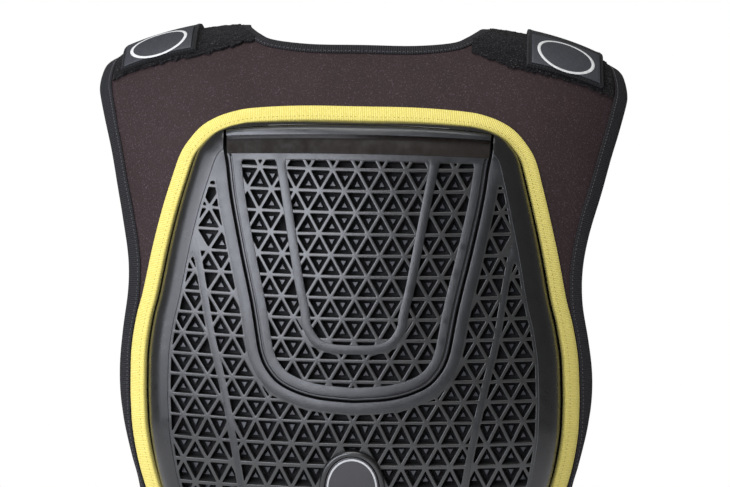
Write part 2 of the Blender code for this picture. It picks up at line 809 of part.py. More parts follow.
def build_belt():
    """Waist belt behind the panel, lapped at the front under a closing tab."""
    inner = BELT_SEAT - BELT_CLOTH
    lap = front_angle(BELT_OVERLAP / 2)
    slope = front_angle(BELT_OVERLAP / 2 + LAP_SLOPE) - lap
    turn = 2 * (math.pi + lap)
    rings = []
    for step in range(BELT_STEPS + 1):
        angle = turn * (step / BELT_STEPS - 0.5)
        share = max(0.0, min(1.0, (angle - math.pi + lap + slope) / slope))
        lift = inner + (BELT_CLOTH + SOFT_GAP) * share * share * (3 - 2 * share)
        rings.append(belt_ring(angle, lift, BELT_CLOTH, BELT_TOP_DROP, BELT_WIDTH))
    loft("waist_belt", rings, (0.012, 0.012, 0.013), 0.9)
    reach = front_angle(CLOSURE_LENGTH / 2)
    closure_lift = BELT_SEAT + BELT_CLOTH + 2 * SOFT_GAP
    rings = [belt_ring(math.pi + reach * (step / 4 - 1), closure_lift, CLOSURE_CLOTH,
                       BELT_TOP_DROP + CLOSURE_MARGIN, BELT_WIDTH - 2 * CLOSURE_MARGIN)
             for step in range(9)]
    loft("belt_closure", rings, (0.012, 0.012, 0.013), 0.9)


def main():
    for old in list(bpy.data.objects):
        bpy.data.objects.remove(old)
    build_panel()
    build_shell()
    build_badge()
    build_shoulder(-1, "left")
    build_shoulder(1, "right")
    build_belt()


main()
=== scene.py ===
"""The back protector harness as it looks: taped cloth panel, pierced shell, straps and belt.

All shapes below are worked out in millimetres over the wearer's torso and are turned to
metres when a piece is made. "across" is measured from the middle of the back, "down" is the
length along the middle of the back from the shoulder crest, negative on the chest. Flat
outlines are drawn with x across and y minus the length down, then laid over the torso.
"""
import math
from bisect import bisect_right
from functools import lru_cache

import bmesh
import bpy
import numpy as np
from mathutils import Matrix, Vector, kdtree, noise
from mathutils.geometry import delaunay_2d_cdt, tessellate_polygon


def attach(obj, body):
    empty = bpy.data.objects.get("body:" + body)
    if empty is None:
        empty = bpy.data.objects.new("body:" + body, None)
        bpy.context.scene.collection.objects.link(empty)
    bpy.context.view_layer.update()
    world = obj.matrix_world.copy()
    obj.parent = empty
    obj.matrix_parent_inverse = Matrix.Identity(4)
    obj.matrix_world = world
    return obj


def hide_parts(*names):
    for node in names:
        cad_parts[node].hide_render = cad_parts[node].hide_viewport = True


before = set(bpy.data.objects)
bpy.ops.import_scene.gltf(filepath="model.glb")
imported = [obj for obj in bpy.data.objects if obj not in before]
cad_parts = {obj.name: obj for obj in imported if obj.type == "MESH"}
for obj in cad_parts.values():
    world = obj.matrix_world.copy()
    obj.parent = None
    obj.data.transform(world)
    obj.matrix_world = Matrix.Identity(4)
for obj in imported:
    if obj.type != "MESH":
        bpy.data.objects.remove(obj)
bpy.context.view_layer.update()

MM = 0.001

# The wearer's torso, which every cloth piece follows
BACK_DEPTH = 138.0
CHEST_DEPTH = 120.0
TORSO_HALF_WIDTH = 210.0
TORSO_SQUARENESS = 2.5
WIDEST_SHARE = 0.995
BEND_DROP = 290.0
CREST_SETBACK = 20.0
SHOULDER_SHARPNESS = 0.8
CREST_RISE = 2.0
SHOULDER_FALL = 22.0
SHOULDER_SPAN = 176.0
SHOULDER_POWER = 3.5
TORSO_DROP = 560.0

# The back panel and its tapes
PANEL_LENGTH = 608.0
PANEL_HALF_WIDTH = 199.0
PANEL_CLOTH = 3.0
WINDOW_LENGTH = 486.0
WINDOW_HALF_WIDTH = 170.4
WINDOW_TOP = 102.0
BINDING_CLOTH = 0.8
EDGE_BINDING_WIDTH = 8.0
WINDOW_BINDING_WIDTH = 9.0
TOP_TAPE_EXTRA = 1.5
TOP_TAPE_REACH = 28.0
EDGE_STEP = 4.0
PANEL_GRID = 9.0

# The shell's window is sewn in a little off the middle. Each edge of that shift is a place
# across or down, and the span over which the shift grows or fades from there.
WINDOW_SHIFT = -2.1
SHIFT_START = 90.0
SHIFT_GROWTH = 35.0
SHIFT_END = 195.0
SHIFT_FADE = 22.0
SHIFT_LOW_END = 400.0
SHIFT_LOW_FADE = 160.0
RIGHT_SHIFT_TOP = 120.0
RIGHT_SHIFT_GROWTH = 70.0

# Stitches: length, width and height, and how far they lie from the inner edge of the tape
WINDOW_STITCH = (1.5, 0.6, 0.3)
WINDOW_STITCH_PITCH = 3.3
WINDOW_STITCH_INSET = 1.9
EDGE_STITCH = (1.9, 0.7, 0.4)
EDGE_STITCH_PITCH = 3.2
EDGE_STITCH_INSET = 1.6
STITCH_LIFT = 0.1

# The shell and its insert
SHELL_RISE = 22.0
SHELL_CURVE_RADIUS = 390.0
SHELL_DEPTH = 10.0
FLANGE_OVERLAP = 8.5
FLANGE_THICKNESS = 2.0
RIM_WIDTH = 17.3
RIM_WALL = 2.5
RIM_BENDS = (0.0, 0.03, 0.08, 0.16, 0.28, 0.45, 0.7, 1.0)
RIM_STEP = 0.45
RIM_ROUNDNESS = 2.45
INSERT_HALF_WIDTH = 102.0
INSERT_BOTTOM = 324.0
GROOVE = 2.8
HEAD_GAP = 1.0
INSERT_RISE = 1.5
OUTER_BAND = 9.5
BORDER_BAND = 9.0
INNER_BAND = 7.0
SIDE_RIB = 6.0
LIP_RISE = 1.0
LIP_ROUNDNESS = 0.7
RECESS_DEPTH = 3.0
RECESS_TILT = 1.8
RECESS_SLOPE = 0.5
RECESS_WALL = -1.6
RECESS_CORNER = 3.5
BEAD_REACH = 0.9
BEAD_WIDTH = 2.0
BEAD_DROP = 0.5
BEAD_NOTCH = 1.0
BEAD_END = 0.4
NOTCH_DROP = 2.2
SHELL_GRID = 7.0
SHELL_ROUNDING = 0.55
INSERT_GRID = 5.0
INSERT_ROUNDING = 0.5
INSERT_MIDDLE = 300.0
BAR_SINK = 0.1

# Section across the insert's edge: how far in, and how far below its face
BEAD_ROWS = (
    (0.0, 2 * BEAD_DROP),
    (BEAD_WIDTH * 0.25, BEAD_DROP * 1.25),
    (BEAD_WIDTH * 0.5, BEAD_DROP),
    (BEAD_WIDTH * 0.75, BEAD_DROP * 1.25),
    (BEAD_WIDTH, NOTCH_DROP),
    (BEAD_WIDTH + BEAD_NOTCH, NOTCH_DROP),
    (BEAD_WIDTH + BEAD_NOTCH + BEAD_END, 0.0),
)

# The fine lattice: its bars, its holes and the studs on the pad behind
LATTICE_PITCH = 18.6
LATTICE_ROW = 15.65
LATTICE_START = 152.8
LATTICE_BAR = 2.5
LATTICE_SINK = 0.35
LATTICE_DEPTH = SHELL_DEPTH - 1.0
CUT_MERGE = 0.02
CELL_MERGE = 0.6
SHORTEST_EDGE = 0.1
SMALLEST_HOLE = 0.45
STRAIGHT_ANGLE = 0.35
BAR_ROUNDING = 0.5
HOLE_ROUNDING = 0.6
STUD_RADIUS = 2.3
STUD_FLARE = 1.4
STUD_SINK = 6.5
PAD_GAP = 1.2
PAD_SINK = 2.0
PAD_INSET = 3.0
PAD_WALL = 1.0
PAD_GRID = 12.0

# The badge seat low on the shell
BADGE_DOWN = 385.0
BADGE_RADIUS = 20.5
COLLAR_RADIUS = 25.0
COLLAR_RISE = 4.5
COLLAR_COVER = 3.0
SEAT_INSET = 0.4
SEAT_SINK = 0.2
SEAT_GRID = 6.0
BADGE_GRID = 4.0
BADGE_ROUNDING = 0.5
BADGE_RISE = 3.0
BADGE_RING = (18.0, 19.3)

# Shoulders, straps and belt
STRAP_CLOTH = 3.0
STRAP_WIDTH = 56.0
STRAP_OUT = 153.0
TAB_SHIFTS = {-1: -1.2, 1: 8.5}
STRAP_TAB_END = 50.0
STRAP_LENGTH = 512.0
LOOP_PILE = 1.5
LOOP_MARGIN = 2.0
LOOP_BACK_END = 53.0
LOOP_TAPER = 13.0
LOOP_NECK_MARGIN = 6.0
LOOP_INNER_SHARE = 0.42
WING_FRONT = -26.0
PATCH_CLOTH = 1.2
PATCH_HEM = 3.0
PATCH_TIP = 1.4
PATCH_LENGTH = 40.0
TAB_RING = 21.0
TAB_RING_WIDTH = 2.2
TAB_RING_SQUASH = 0.9
TAB_RING_PLACE = 17.0
BELT_CLOTH = 3.0
BELT_WIDTH = 110.0
BELT_TOP_DROP = 385.0
BELT_OVERLAP = 80.0
LAP_SLOPE = 25.0
CLOSURE_LENGTH = 60.0
CLOSURE_MARGIN = 8.0
CLOSURE_CLOTH = 2.0
STRIP_ROUNDING = 0.35

# Height of the strap's hem, and how far from the edge it lies and spreads, at side and end
HEM_RISE = 0.5
SIDE_HEM = (1.8, 1.2)
END_HEM = (2.0, 1.4)

# Unevenness of the pile: how much each finer octave fades and shrinks, and their number,
# then the height or reach of each kind and the size of its spots
FUZZ_FALL = 0.6
FUZZ_STEP = 2.2
FUZZ_OCTAVES = 3
PILE_FUZZ = (0.7, 1.6)
PILE_EDGE_FUZZ = (2.6, 3.4)
CLOSURE_FUZZ = (0.25, 2.0)

GAP = 0.3
CLOTH_GAP = 0.45
SOFT_GAP = 0.7

# Torso below the bend: drop, back depth and half width as shares of their sizes
TORSO_ROWS = (
    (0.518, 1.00, 1.00),
    (0.571, 0.975, 0.99),
    (0.616, 0.915, 0.98),
    (0.661, 0.83, 0.97),
    (0.714, 0.735, 0.95),
    (0.768, 0.67, 0.93),
    (0.821, 0.635, 0.91),
    (0.893, 0.615, 0.90),
    (1.000, 0.62, 0.895),
)

# Edges across the insert's head: down in the middle, and how much lower at HEAD_REACH across.
# They are the top of its lip, the top and bottom of its recess, and the top of its lattice.
HEAD_REACH = 95.0
HEAD_ROWS = (
    (120.6, 5.5),
    (128.0, 3.4),
    (142.0, 2.6),
    (146.6, 2.0),
)

# Neckline of the panel, from the middle to the corner: across, down
NECK_ROWS = (
    (0.00, 0.0747),
    (0.20, 0.0745),
    (0.345, 0.065),
    (0.402, 0.048),
    (0.437, 0.022),
    (0.455, -0.015),
)

# Armhole, side and lower edge of the panel, from the shoulder to the middle: across, down
SIDE_ROWS = (
    (0.975, -0.030),
    (0.998, 0.040),
    (1.008, 0.078),
    (1.004, 0.104),
    (0.979, 0.154),
    (0.947, 0.204),
    (0.919, 0.251),
    (0.888, 0.303),
    (0.863, 0.356),
    (0.862, 0.403),
    (0.884, 0.457),
    (0.897, 0.501),
    (0.896, 0.541),
    (0.881, 0.580),
    (0.850, 0.625),
    (0.827, 0.655),
    (0.800, 0.710),
    (0.755, 0.775),
    (0.670, 0.860),
    (0.520, 0.930),
    (0.300, 0.980),
    (0.000, 1.000),
)

# Outer edge of the tape round the shell, from the top middle: across, down from its top
WINDOW_ROWS = (
    (0.000, -0.0018),
    (0.250, -0.0016),
    (0.480, 0.0022),
    (0.560, 0.0065),
    (0.628, 0.0140),
    (0.692, 0.027),
    (0.744, 0.047),
    (0.785, 0.070),
    (0.820, 0.108),
    (0.860, 0.157),
    (0.901, 0.219),
    (0.942, 0.294),
    (0.971, 0.336),
    (0.994, 0.389),
    (1.000, 0.440),
    (1.000, 0.481),
    (0.990, 0.535),
    (0.950, 0.605),
    (0.869, 0.695),
    (0.745, 0.782),
    (0.600, 0.867),
    (0.420, 0.942),
    (0.220, 0.986),
    (0.000, 1.000),
)

# Middle of the groove round the insert, from the top: across, down
GROOVE_ROWS = (
    (0.998, 0.350),
    (0.996, 0.389),
    (0.990, 0.434),
    (0.969, 0.471),
    (0.936, 0.544),
    (0.859, 0.658),
    (0.810, 0.723),
    (0.762, 0.789),
    (0.723, 0.858),
    (0.700, 0.893),
    (0.655, 0.926),
    (0.569, 0.958),
    (0.451, 0.978),
    (0.324, 0.990),
    (0.196, 0.996),
    (0.000, 1.000),
)

# Middle of the inner U band on the insert, from the head bar: across, down
INNER_BAND_ROWS = (
    (0.585, 0.445),
    (0.525, 0.541),
    (0.421, 0.721),
    (0.373, 0.789),
    (0.348, 0.832),
    (0.270, 0.866),
    (0.160, 0.878),
    (0.000, 0.880),
)

# Middle of each side rib, from the rim down: across, down as shares of the window
RIB_ROWS = (
    (0.715, 0.218),
    (0.685, 0.272),
    (0.640, 0.362),
    (0.593, 0.430),
    (0.550, 0.500),
    (0.503, 0.584),
    (0.440, 0.690),
    (0.350, 0.830),
    (0.270, 0.930),
)

# Shoulder strap, from its tab on the back to the belt: down, across, width, lift
STRAP_ROWS = (
    (STRAP_TAB_END, 1.00, 1.00, 1.0),
    (0.0, 1.00, 1.00, 1.0),
    (-0.06 * STRAP_LENGTH, 0.99, 0.98, 1.0),
    (-0.14 * STRAP_LENGTH, 0.96, 0.92, 0.65),
    (-0.30 * STRAP_LENGTH, 0.90, 0.88, 0.35),
    (-0.55 * STRAP_LENGTH, 0.82, 0.88, 0.15),
    (-0.75 * STRAP_LENGTH, 0.76, 0.88, 0.0),
    (STRAP_TAB_END - STRAP_LENGTH, 0.72, 0.88, 0.0),
)


def held(share):
    """A share kept between 0 and 1."""
    return min(1.0, max(0.0, share))


def read_rows(rows, place, column):
    """Smooth value of a column at a place along the first column of the rows."""
    ordered = rows if rows[0][0] < rows[-1][0] else rows[::-1]
    place = min(max(place, ordered[0][0]), ordered[-1][0])
    index = min(bisect_right([row[0] for row in ordered], place), len(ordered) - 1)
    below, above = ordered[index - 1], ordered[index]
    span = above[0] - below[0]
    share = (place - below[0]) / span
    slopes = []
    for corner in (index - 1, index):
        near = ordered[max(corner - 1, 0)]
        far = ordered[min(corner + 1, len(ordered) - 1)]
        slopes.append((far[column] - near[column]) / (far[0] - near[0]) * span)
    rest = 1 - share
    return (below[column] * (1 + 2 * share) * rest ** 2 + slopes[0] * share * rest ** 2
            + above[column] * (3 - 2 * share) * share ** 2 - slopes[1] * rest * share ** 2)


@lru_cache(maxsize=None)
def torso_size(drop):
    """Back depth and half width of the torso at one height."""
    return (BACK_DEPTH * read_rows(TORSO_ROWS, drop / TORSO_DROP, 1),
            TORSO_HALF_WIDTH * read_rows(TORSO_ROWS, drop / TORSO_DROP, 2))


def torso_turn(across, turn):
    """Point of the torso: turn is 1 where the back starts to bend over the shoulder,
    0 at the crest and -1 on the chest at the height of the bend."""
    on_back = turn > 0
    beyond = max(abs(turn), 1.0)
    drop = BEND_DROP * beyond
    back, half_width = torso_size(drop)
    depth = back if on_back else CHEST_DEPTH
    share = min(WIDEST_SHARE, abs(across) / half_width)
    out = depth * (1 - share ** TORSO_SQUARENESS) ** (1 / TORSO_SQUARENESS)
    if beyond > 1:
        return Vector((across, -out if on_back else out, -drop))
    crest = CREST_RISE - SHOULDER_FALL * (abs(across) / SHOULDER_SPAN) ** SHOULDER_POWER
    angle = abs(turn) * math.pi / 2
    reach = out - CREST_SETBACK if on_back else out + CREST_SETBACK
    sweep = math.sin(angle) ** SHOULDER_SHARPNESS * reach
    height = (crest + BEND_DROP) * max(0.0, math.cos(angle)) ** SHOULDER_SHARPNESS
    return Vector((across, -CREST_SETBACK + (-sweep if on_back else sweep), height - BEND_DROP))


def measure_middle(steps=600, reach=2.0):
    """Length along the middle of the torso for each turn, zero at the crest."""
    turns = [reach * (2 * step / steps - 1) for step in range(steps + 1)]
    points = [torso_turn(0.0, turn) for turn in turns]
    lengths = [0.0]
    for before, after in zip(points, points[1:]):
        lengths.append(lengths[-1] + (after - before).length)
    crest_length = lengths[steps // 2]
    return turns, [length - crest_length for length in lengths]


TURNS, DOWNS = measure_middle()


def turn_at(down):
    """Turn of the torso at this length down."""
    index = min(max(bisect_right(DOWNS, down), 1), len(DOWNS) - 1)
    share = (down - DOWNS[index - 1]) / (DOWNS[index] - DOWNS[index - 1])
    return TURNS[index - 1] + (TURNS[index] - TURNS[index - 1]) * share


def shifted(across, down):
    """Place across with the shell's window a little off the middle, as it is sewn in."""
    reach = abs(across)
    share = held((reach - SHIFT_START) / SHIFT_GROWTH) * held((SHIFT_END - reach) / SHIFT_FADE)
    share *= held((SHIFT_LOW_END - down) / SHIFT_LOW_FADE)
    if across > 0:
        share *= held((down - RIGHT_SHIFT_TOP) / RIGHT_SHIFT_GROWTH)
    return across + WINDOW_SHIFT * share * share * (3 - 2 * share)


def on_torso(across, down, lift=0.0):
    """Point over the torso, lifted square off it."""
    across = shifted(across, down)
    turn = turn_at(down)
    point = torso_turn(across, turn)
    if not lift:
        return point
    step = 0.004
    side_step = 1.0
    along = torso_turn(across, turn - step) - torso_turn(across, turn + step)
    sideways = torso_turn(across + side_step, turn) - torso_turn(across - side_step, turn)
    return point + sideways.cross(along).normalized() * lift


@lru_cache(maxsize=None)
def middle_line(down):
    """Point on the middle of the torso, and the way out of it."""
    foot = on_torso(0.0, down)
    return foot, on_torso(0.0, down, 1.0) - foot


def through(points, spacing, steps=8):
    """Smooth curve through flat points, with its own points at an even spacing."""
    ends = [points[0] * 2 - points[1]] + list(points) + [points[-1] * 2 - points[-2]]
    fine = []
    for before, start, end, after in zip(ends, ends[1:], ends[2:], ends[3:]):
        for step in range(steps):
            t = step / steps
            fine.append(0.5 * (2 * start + (end - before) * t
                               + (2 * before - 5 * start + 4 * end - after) * t * t
                               + (3 * start - before - 3 * end + after) * t ** 3))
    fine.append(points[-1].copy())
    return spaced(fine, spacing)


def spaced(points, spacing):
    """Points at an even spacing along a chain of points, both ends kept."""
    lengths = [0.0]
    for before, after in zip(points, points[1:]):
        lengths.append(lengths[-1] + (after - before).length)
    count = max(2, round(lengths[-1] / spacing))
    result = []
    for step in range(count + 1):
        target = lengths[-1] * step / count
        index = min(max(bisect_right(lengths, target), 1), len(lengths) - 1)
        share = (target - lengths[index - 1]) / max(1e-9, lengths[index] - lengths[index - 1])
        result.append(points[index - 1].lerp(points[index], share))
    return result


def flat_rows(rows, width, length, start=0.0):
    """Rows of shares as flat points: x is across and y is minus the length down."""
    return [Vector((across * width, -(start + down * length))) for across, down in rows]


def both_sides(half):
    """Closed loop from a right half that runs from the top middle to the bottom middle."""
    left = [Vector((-point.x, point.y)) for point in half if point.x > 1e-6]
    return half + left[::-1]


def mirrored(points):
    """The same flat points on the other side."""
    return [Vector((-point.x, point.y)) for point in points]


def moved_in(line, distance):
    """Right half of an outline, walked downwards, moved towards its inside by one distance
    or by one for each point."""
    distances = distance if isinstance(distance, list) else [distance] * len(line)
    moved = []
    for index, point in enumerate(line):
        along = line[min(index + 1, len(line) - 1)] - line[max(index - 1, 0)]
        inward = Vector((along.y, -along.x)).normalized()
        place = point + inward * distances[index]
        if point.x < 1e-6:
            place.x = 0.0
        moved.append(place)
    return moved


class Outline:
    """A closed flat loop that tells how far a point lies inside it."""

    def __init__(self, loop):
        self.loop = loop
        self.starts = np.array([tuple(point) for point in loop])
        self.ends = np.roll(self.starts, -1, axis=0)
        self.alongs = self.ends - self.starts
        self.squares = np.maximum((self.alongs ** 2).sum(axis=1), 1e-9)

    def distance(self, x, y):
        """Distance to the loop, positive inside."""
        apart = np.array((x, y)) - self.starts
        share = np.clip((apart * self.alongs).sum(axis=1) / self.squares, 0, 1)
        nearest = np.sqrt(((apart - self.alongs * share[:, None]) ** 2).sum(axis=1).min())
        return float(nearest) if self.holds(x, y) else -float(nearest)

    def area(self):
        """Area inside the loop."""
        return abs(float((self.starts[:, 0] * self.ends[:, 1]
                          - self.ends[:, 0] * self.starts[:, 1]).sum())) / 2

    def length(self):
        """Length round the loop."""
        return float(np.sqrt(self.squares).sum())

    def holds(self, x, y):
        """Whether a point lies inside."""
        crosses = (self.starts[:, 1] > y) != (self.ends[:, 1] > y)
        starts, alongs = self.starts[crosses], self.alongs[crosses]
        reached = starts[:, 0] + (y - starts[:, 1]) / alongs[:, 1] * alongs[:, 0]
        return bool((x < reached).sum() % 2)


def panel_half():
    """Right half of the panel's edge: neckline, front edge of the shoulder and side."""
    neck = through(flat_rows(NECK_ROWS, PANEL_HALF_WIDTH, PANEL_LENGTH), EDGE_STEP)
    side = through(flat_rows(SIDE_ROWS, PANEL_HALF_WIDTH, PANEL_LENGTH), EDGE_STEP)
    front_edge = spaced([Vector((neck[-1].x, -WING_FRONT)), Vector((side[0].x, -WING_FRONT))],
                        EDGE_STEP)
    return neck[:-1] + front_edge + side[1:]


def window_line():
    """Right half of the outer edge of the tape round the shell, from the top middle."""
    rows = flat_rows(WINDOW_ROWS, WINDOW_HALF_WIDTH, WINDOW_LENGTH, WINDOW_TOP)
    return through(rows, EDGE_STEP)


def top_extra(point):
    """How much wider the tape round the shell lies near its top."""
    return TOP_TAPE_EXTRA * max(0.0, 1 - (-point.y - WINDOW_TOP) / TOP_TAPE_REACH)


def window_half(distance):
    """Right half of the tape's outer edge round the shell, moved inwards."""
    line = window_line()
    share = held(distance / WINDOW_BINDING_WIDTH)
    return moved_in(line, [distance + share * top_extra(point) for point in line])


def groove_half(distance):
    """Right half of the groove round the insert, from its top, moved inwards."""
    rows = flat_rows(GROOVE_ROWS, INSERT_HALF_WIDTH, INSERT_BOTTOM)
    return moved_in(through(rows, EDGE_STEP * 0.7), distance)


def inner_band_half(distance):
    """Right half of the inner U band's middle line, moved inwards."""
    rows = flat_rows(INNER_BAND_ROWS, INSERT_HALF_WIDTH, INSERT_BOTTOM)
    return moved_in(through(rows, EDGE_STEP * 0.6), distance)


PANEL_HALF = panel_half()
PANEL = Outline(both_sides(PANEL_HALF))
WINDOW = Outline(both_sides(window_half(0)))
OPENING = Outline(both_sides(window_half(WINDOW_BINDING_WIDTH)))
UNDER_PANEL = -BINDING_CLOTH - CLOTH_GAP - SOFT_GAP
BELT_SEAT = UNDER_PANEL - FLANGE_THICKNESS - 3 * SOFT_GAP
RIM_FOOT = WINDOW_BINDING_WIDTH - UNDER_PANEL
LATTICE_EDGE = RIM_FOOT + RIM_WIDTH + RIM_WALL
LATTICE = Outline(both_sides(window_half(LATTICE_EDGE)))


def rib_edge(distance):
    """One edge of the right side rib, from the rim to the shell's lower end."""
    rows = flat_rows(RIB_ROWS, WINDOW_HALF_WIDTH, WINDOW_LENGTH, WINDOW_TOP)
    edge = moved_in(through(rows, EDGE_STEP), distance)
    return [point for point in edge if LATTICE.distance(*point) > 1]


def head_edge(level, across):
    """Length down to one of the arched edges across the insert's head."""
    down, sag = HEAD_ROWS[level]
    return down + sag * (across / HEAD_REACH) ** 2


def arch(level, reach, drop=0.0, steps=24):
    """One of those edges as flat points, from the middle to the right, moved down."""
    places = [reach * step / steps for step in range(steps + 1)]
    return [Vector((x, -head_edge(level, x) - drop)) for x in places]


def u_outline(distance, drop=0.0):
    """Closed U that follows the groove, with an arched top."""
    side = [point for point in groove_half(distance)
            if -point.y > head_edge(0, point.x) + drop + 1]
    return both_sides(arch(0, side[0].x, drop) + side)


def on_shell(across, down, sink=0.0, wall=0.0, flange=UNDER_PANEL):
    """Point of the shell's dome, blended into its flange at the rim."""
    inside = OPENING.distance(across, -down)
    share = held((inside - wall + UNDER_PANEL) / RIM_WIDTH)
    foot, out = middle_line(round(down, 3))
    middle = foot + out * (SHELL_RISE - sink)
    place = shifted(across, down)
    fall = SHELL_CURVE_RADIUS - math.sqrt(SHELL_CURVE_RADIUS ** 2 - place ** 2)
    dome = Vector((place, middle.y + fall, middle.z))
    if share >= 1:
        return dome
    rise = (1 - (1 - share) ** RIM_ROUNDNESS) ** (1 / RIM_ROUNDNESS)
    return on_torso(across, down, flange).lerp(dome, rise)


def behind_shell(across, down, sink=0.0):
    """Point of the shell's inner face, or that far behind it."""
    return on_shell(across, down, SHELL_DEPTH + sink, RIM_WALL,
                    UNDER_PANEL - FLANGE_THICKNESS - sink)


def through_shell(across, down, height):
    """Place for a flat shell form: height 0 is its front and -SHELL_DEPTH its back."""
    if height >= 0:
        return on_shell(across, down, -height)
    share = -height / SHELL_DEPTH
    front = on_shell(across, down)
    return front.lerp(behind_shell(across, down), share)


def flat_sheet(outline, holes=(), creases=(), grid=0.0):
    """Flat mesh of an outline. Its edges follow the holes and the creases, and a grid of
    points fills the rest."""
    loops = [outline, *holes, *creases]
    points = [point for loop in loops for point in loop]
    edges = []
    for loop in loops:
        first = edges[-1][0] + 1 if edges else 0
        edges += [(first + i, first + (i + 1) % len(loop)) for i in range(len(loop))]
    if grid:
        points += grid_points(outline, points, grid)
    found, _, triangles, *_ = delaunay_2d_cdt(points, edges, [], 0, 1e-4)
    border = Outline(outline)
    gaps = [Outline(hole) for hole in holes]
    bm = bmesh.new()
    verts = [bm.verts.new((point.x, point.y, 0)) for point in found]
    for triangle in triangles:
        x, y = sum((found[corner] for corner in triangle), Vector((0, 0))) / 3
        if border.holds(x, y) and not any(gap.holds(x, y) for gap in gaps):
            bm.faces.new([verts[corner] for corner in triangle])
    loose = [vert for vert in bm.verts if not vert.link_faces]
    bmesh.ops.delete(bm, geom=loose, context="VERTS")
    return bm


def grid_points(outline, taken, spacing):
    """Points on even rows inside an outline, clear of the points that it already has."""
    border = Outline(outline)
    tree = kdtree.KDTree(len(taken))
    for index, point in enumerate(taken):
        tree.insert((point.x, point.y, 0), index)
    tree.balance()
    low, high = border.starts.min(axis=0), border.starts.max(axis=0)
    found = []
    for row in range(1, math.ceil((high[1] - low[1]) / spacing)):
        for column in range(1, math.ceil((high[0] - low[0]) / spacing)):
            shift = spacing / 2 * (row % 2)
            point = Vector((low[0] + column * spacing - shift, low[1] + row * spacing))
            clear = tree.find((point.x, point.y, 0))[2] > spacing * 0.6
            if clear and border.holds(*point):
                found.append(point)
    return found


def thicken(bm, depth, top=0.0):
    """Gives a flat sheet a wall of this depth, with its front at height top."""
    bmesh.ops.recalc_face_normals(bm, faces=bm.faces)
    made = bmesh.ops.extrude_face_region(bm, geom=bm.faces[:], use_keep_orig=True)
    copied = [item for item in made["geom"] if isinstance(item, bmesh.types.BMVert)]
    bmesh.ops.translate(bm, verts=copied, vec=(0, 0, -depth))
    bmesh.ops.translate(bm, verts=bm.verts, vec=(0, 0, top))
    bmesh.ops.recalc_face_normals(bm, faces=bm.faces)


def round_front(bm, width, height=0.0, segments=2):
    """Rounds the sharp edges at one height of a flat form."""
    sharp = [edge for edge in bm.edges if edge.calc_face_angle(0) > 1
             and all(abs(vert.co.z - height) < 1e-4 for vert in edge.verts)]
    bmesh.ops.bevel(bm, geom=sharp, offset=width, segments=segments, profile=0.5,
                    affect="EDGES", material=-1, clamp_overlap=False)


def lay(bm, place):
    """Moves each point of a flat form to its place, from across, down and height."""
    for vert in bm.verts:
        vert.co = place(vert.co.x, -vert.co.y, vert.co.z)


def joined(parts):
    """One bmesh that holds several, each with its own material index. Where that is None
    the faces keep the one they have."""
    whole = bmesh.new()
    for index, part in parts:
        for face in part.faces if index is not None else ():
            face.material_index = index
        bmesh.ops.recalc_face_normals(part, faces=part.faces)
        mesh = bpy.data.meshes.new("part")
        part.to_mesh(mesh)
        part.free()
        whole.from_mesh(mesh)
        bpy.data.meshes.remove(mesh)
    return whole


def add_piece(name, bm, materials, nodes=(), angle=40):
    """Makes one named piece from a form in millimetres."""
    bmesh.ops.scale(bm, vec=(MM, MM, MM), verts=bm.verts)
    mesh = bpy.data.meshes.new(name)
    bm.to_mesh(mesh)
    bm.free()
    mesh.shade_smooth()
    mesh.set_sharp_from_angle(angle=math.radians(angle))
    for material in materials:
        mesh.materials.append(material)
    piece = bpy.data.objects.new(name, mesh)
    bpy.context.scene.collection.objects.link(piece)
    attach(piece, "root")
    if nodes:
        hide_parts(*nodes)
    return piece


# Materials


def linear(code):
    """An sRGB hex colour as linear values, with full opacity."""
    shares = [int(code[place:place + 2], 16) / 255 for place in (1, 3, 5)]
    return tuple(s / 12.92 if s <= 0.04045 else ((s + 0.055) / 1.055) ** 2.4
                 for s in shares) + (1.0,)


def per_metre(size):
    """Scale of a pattern whose repeat is this many millimetres."""
    return 1 / (size * MM)


def add_node(tree, kind, inputs=None, **settings):
    """Adds one node: settings are its own, and inputs are values or sockets to link."""
    added = tree.nodes.new("ShaderNode" + kind)
    for name, value in settings.items():
        setattr(added, name, value)
    for name, value in (inputs or {}).items():
        if isinstance(value, bpy.types.NodeSocket):
            tree.links.new(value, added.inputs[name])
        else:
            added.inputs[name].default_value = value
    return added


def new_material(name, **values):
    """A named material with its shader's plain values, its node tree and its shader."""
    material = bpy.data.materials.new(name)
    material.use_nodes = True
    tree = material.node_tree
    shader = tree.nodes["Principled BSDF"]
    for socket, value in values.items():
        shader.inputs[socket.replace("_", " ")].default_value = value
    return material, tree, shader


def mottle(tree, size, detail=3.0, roughness=0.6):
    """Cloudy pattern with spots of this many millimetres."""
    place = add_node(tree, "TexCoord").outputs["Object"]
    return add_node(tree, "TexNoise", {"Vector": place, "Scale": per_metre(size),
                                       "Detail": detail, "Roughness": roughness}).outputs["Fac"]


def spread(tree, value, low, high, start=0.3, end=0.7):
    """A pattern's middle range stretched from low to high."""
    return add_node(tree, "MapRange", {"Value": value, "From Min": start, "From Max": end,
                                       "To Min": low, "To Max": high}).outputs["Result"]


def blended(tree, share, first, second):
    """Colour between two, by a pattern. The first is a hex code or another colour's socket."""
    under = linear(first) if isinstance(first, str) else first
    return add_node(tree, "Mix", {0: share, 6: under, 7: linear(second)},
                    data_type="RGBA").outputs[2]


def reckoned(tree, operation, *values):
    """Result of a Math node from values or sockets."""
    return add_node(tree, "Math", dict(enumerate(values)), operation=operation).outputs[0]


def bumped(tree, shader, height, depth, under=None):
    """Relief of this many millimetres from a height pattern, over another relief."""
    inputs = {"Height": height, "Strength": 1.0, "Distance": depth * MM}
    if under:
        inputs["Normal"] = under
    relief = add_node(tree, "Bump", inputs).outputs["Normal"]
    tree.links.new(relief, shader.inputs["Normal"])
    return relief


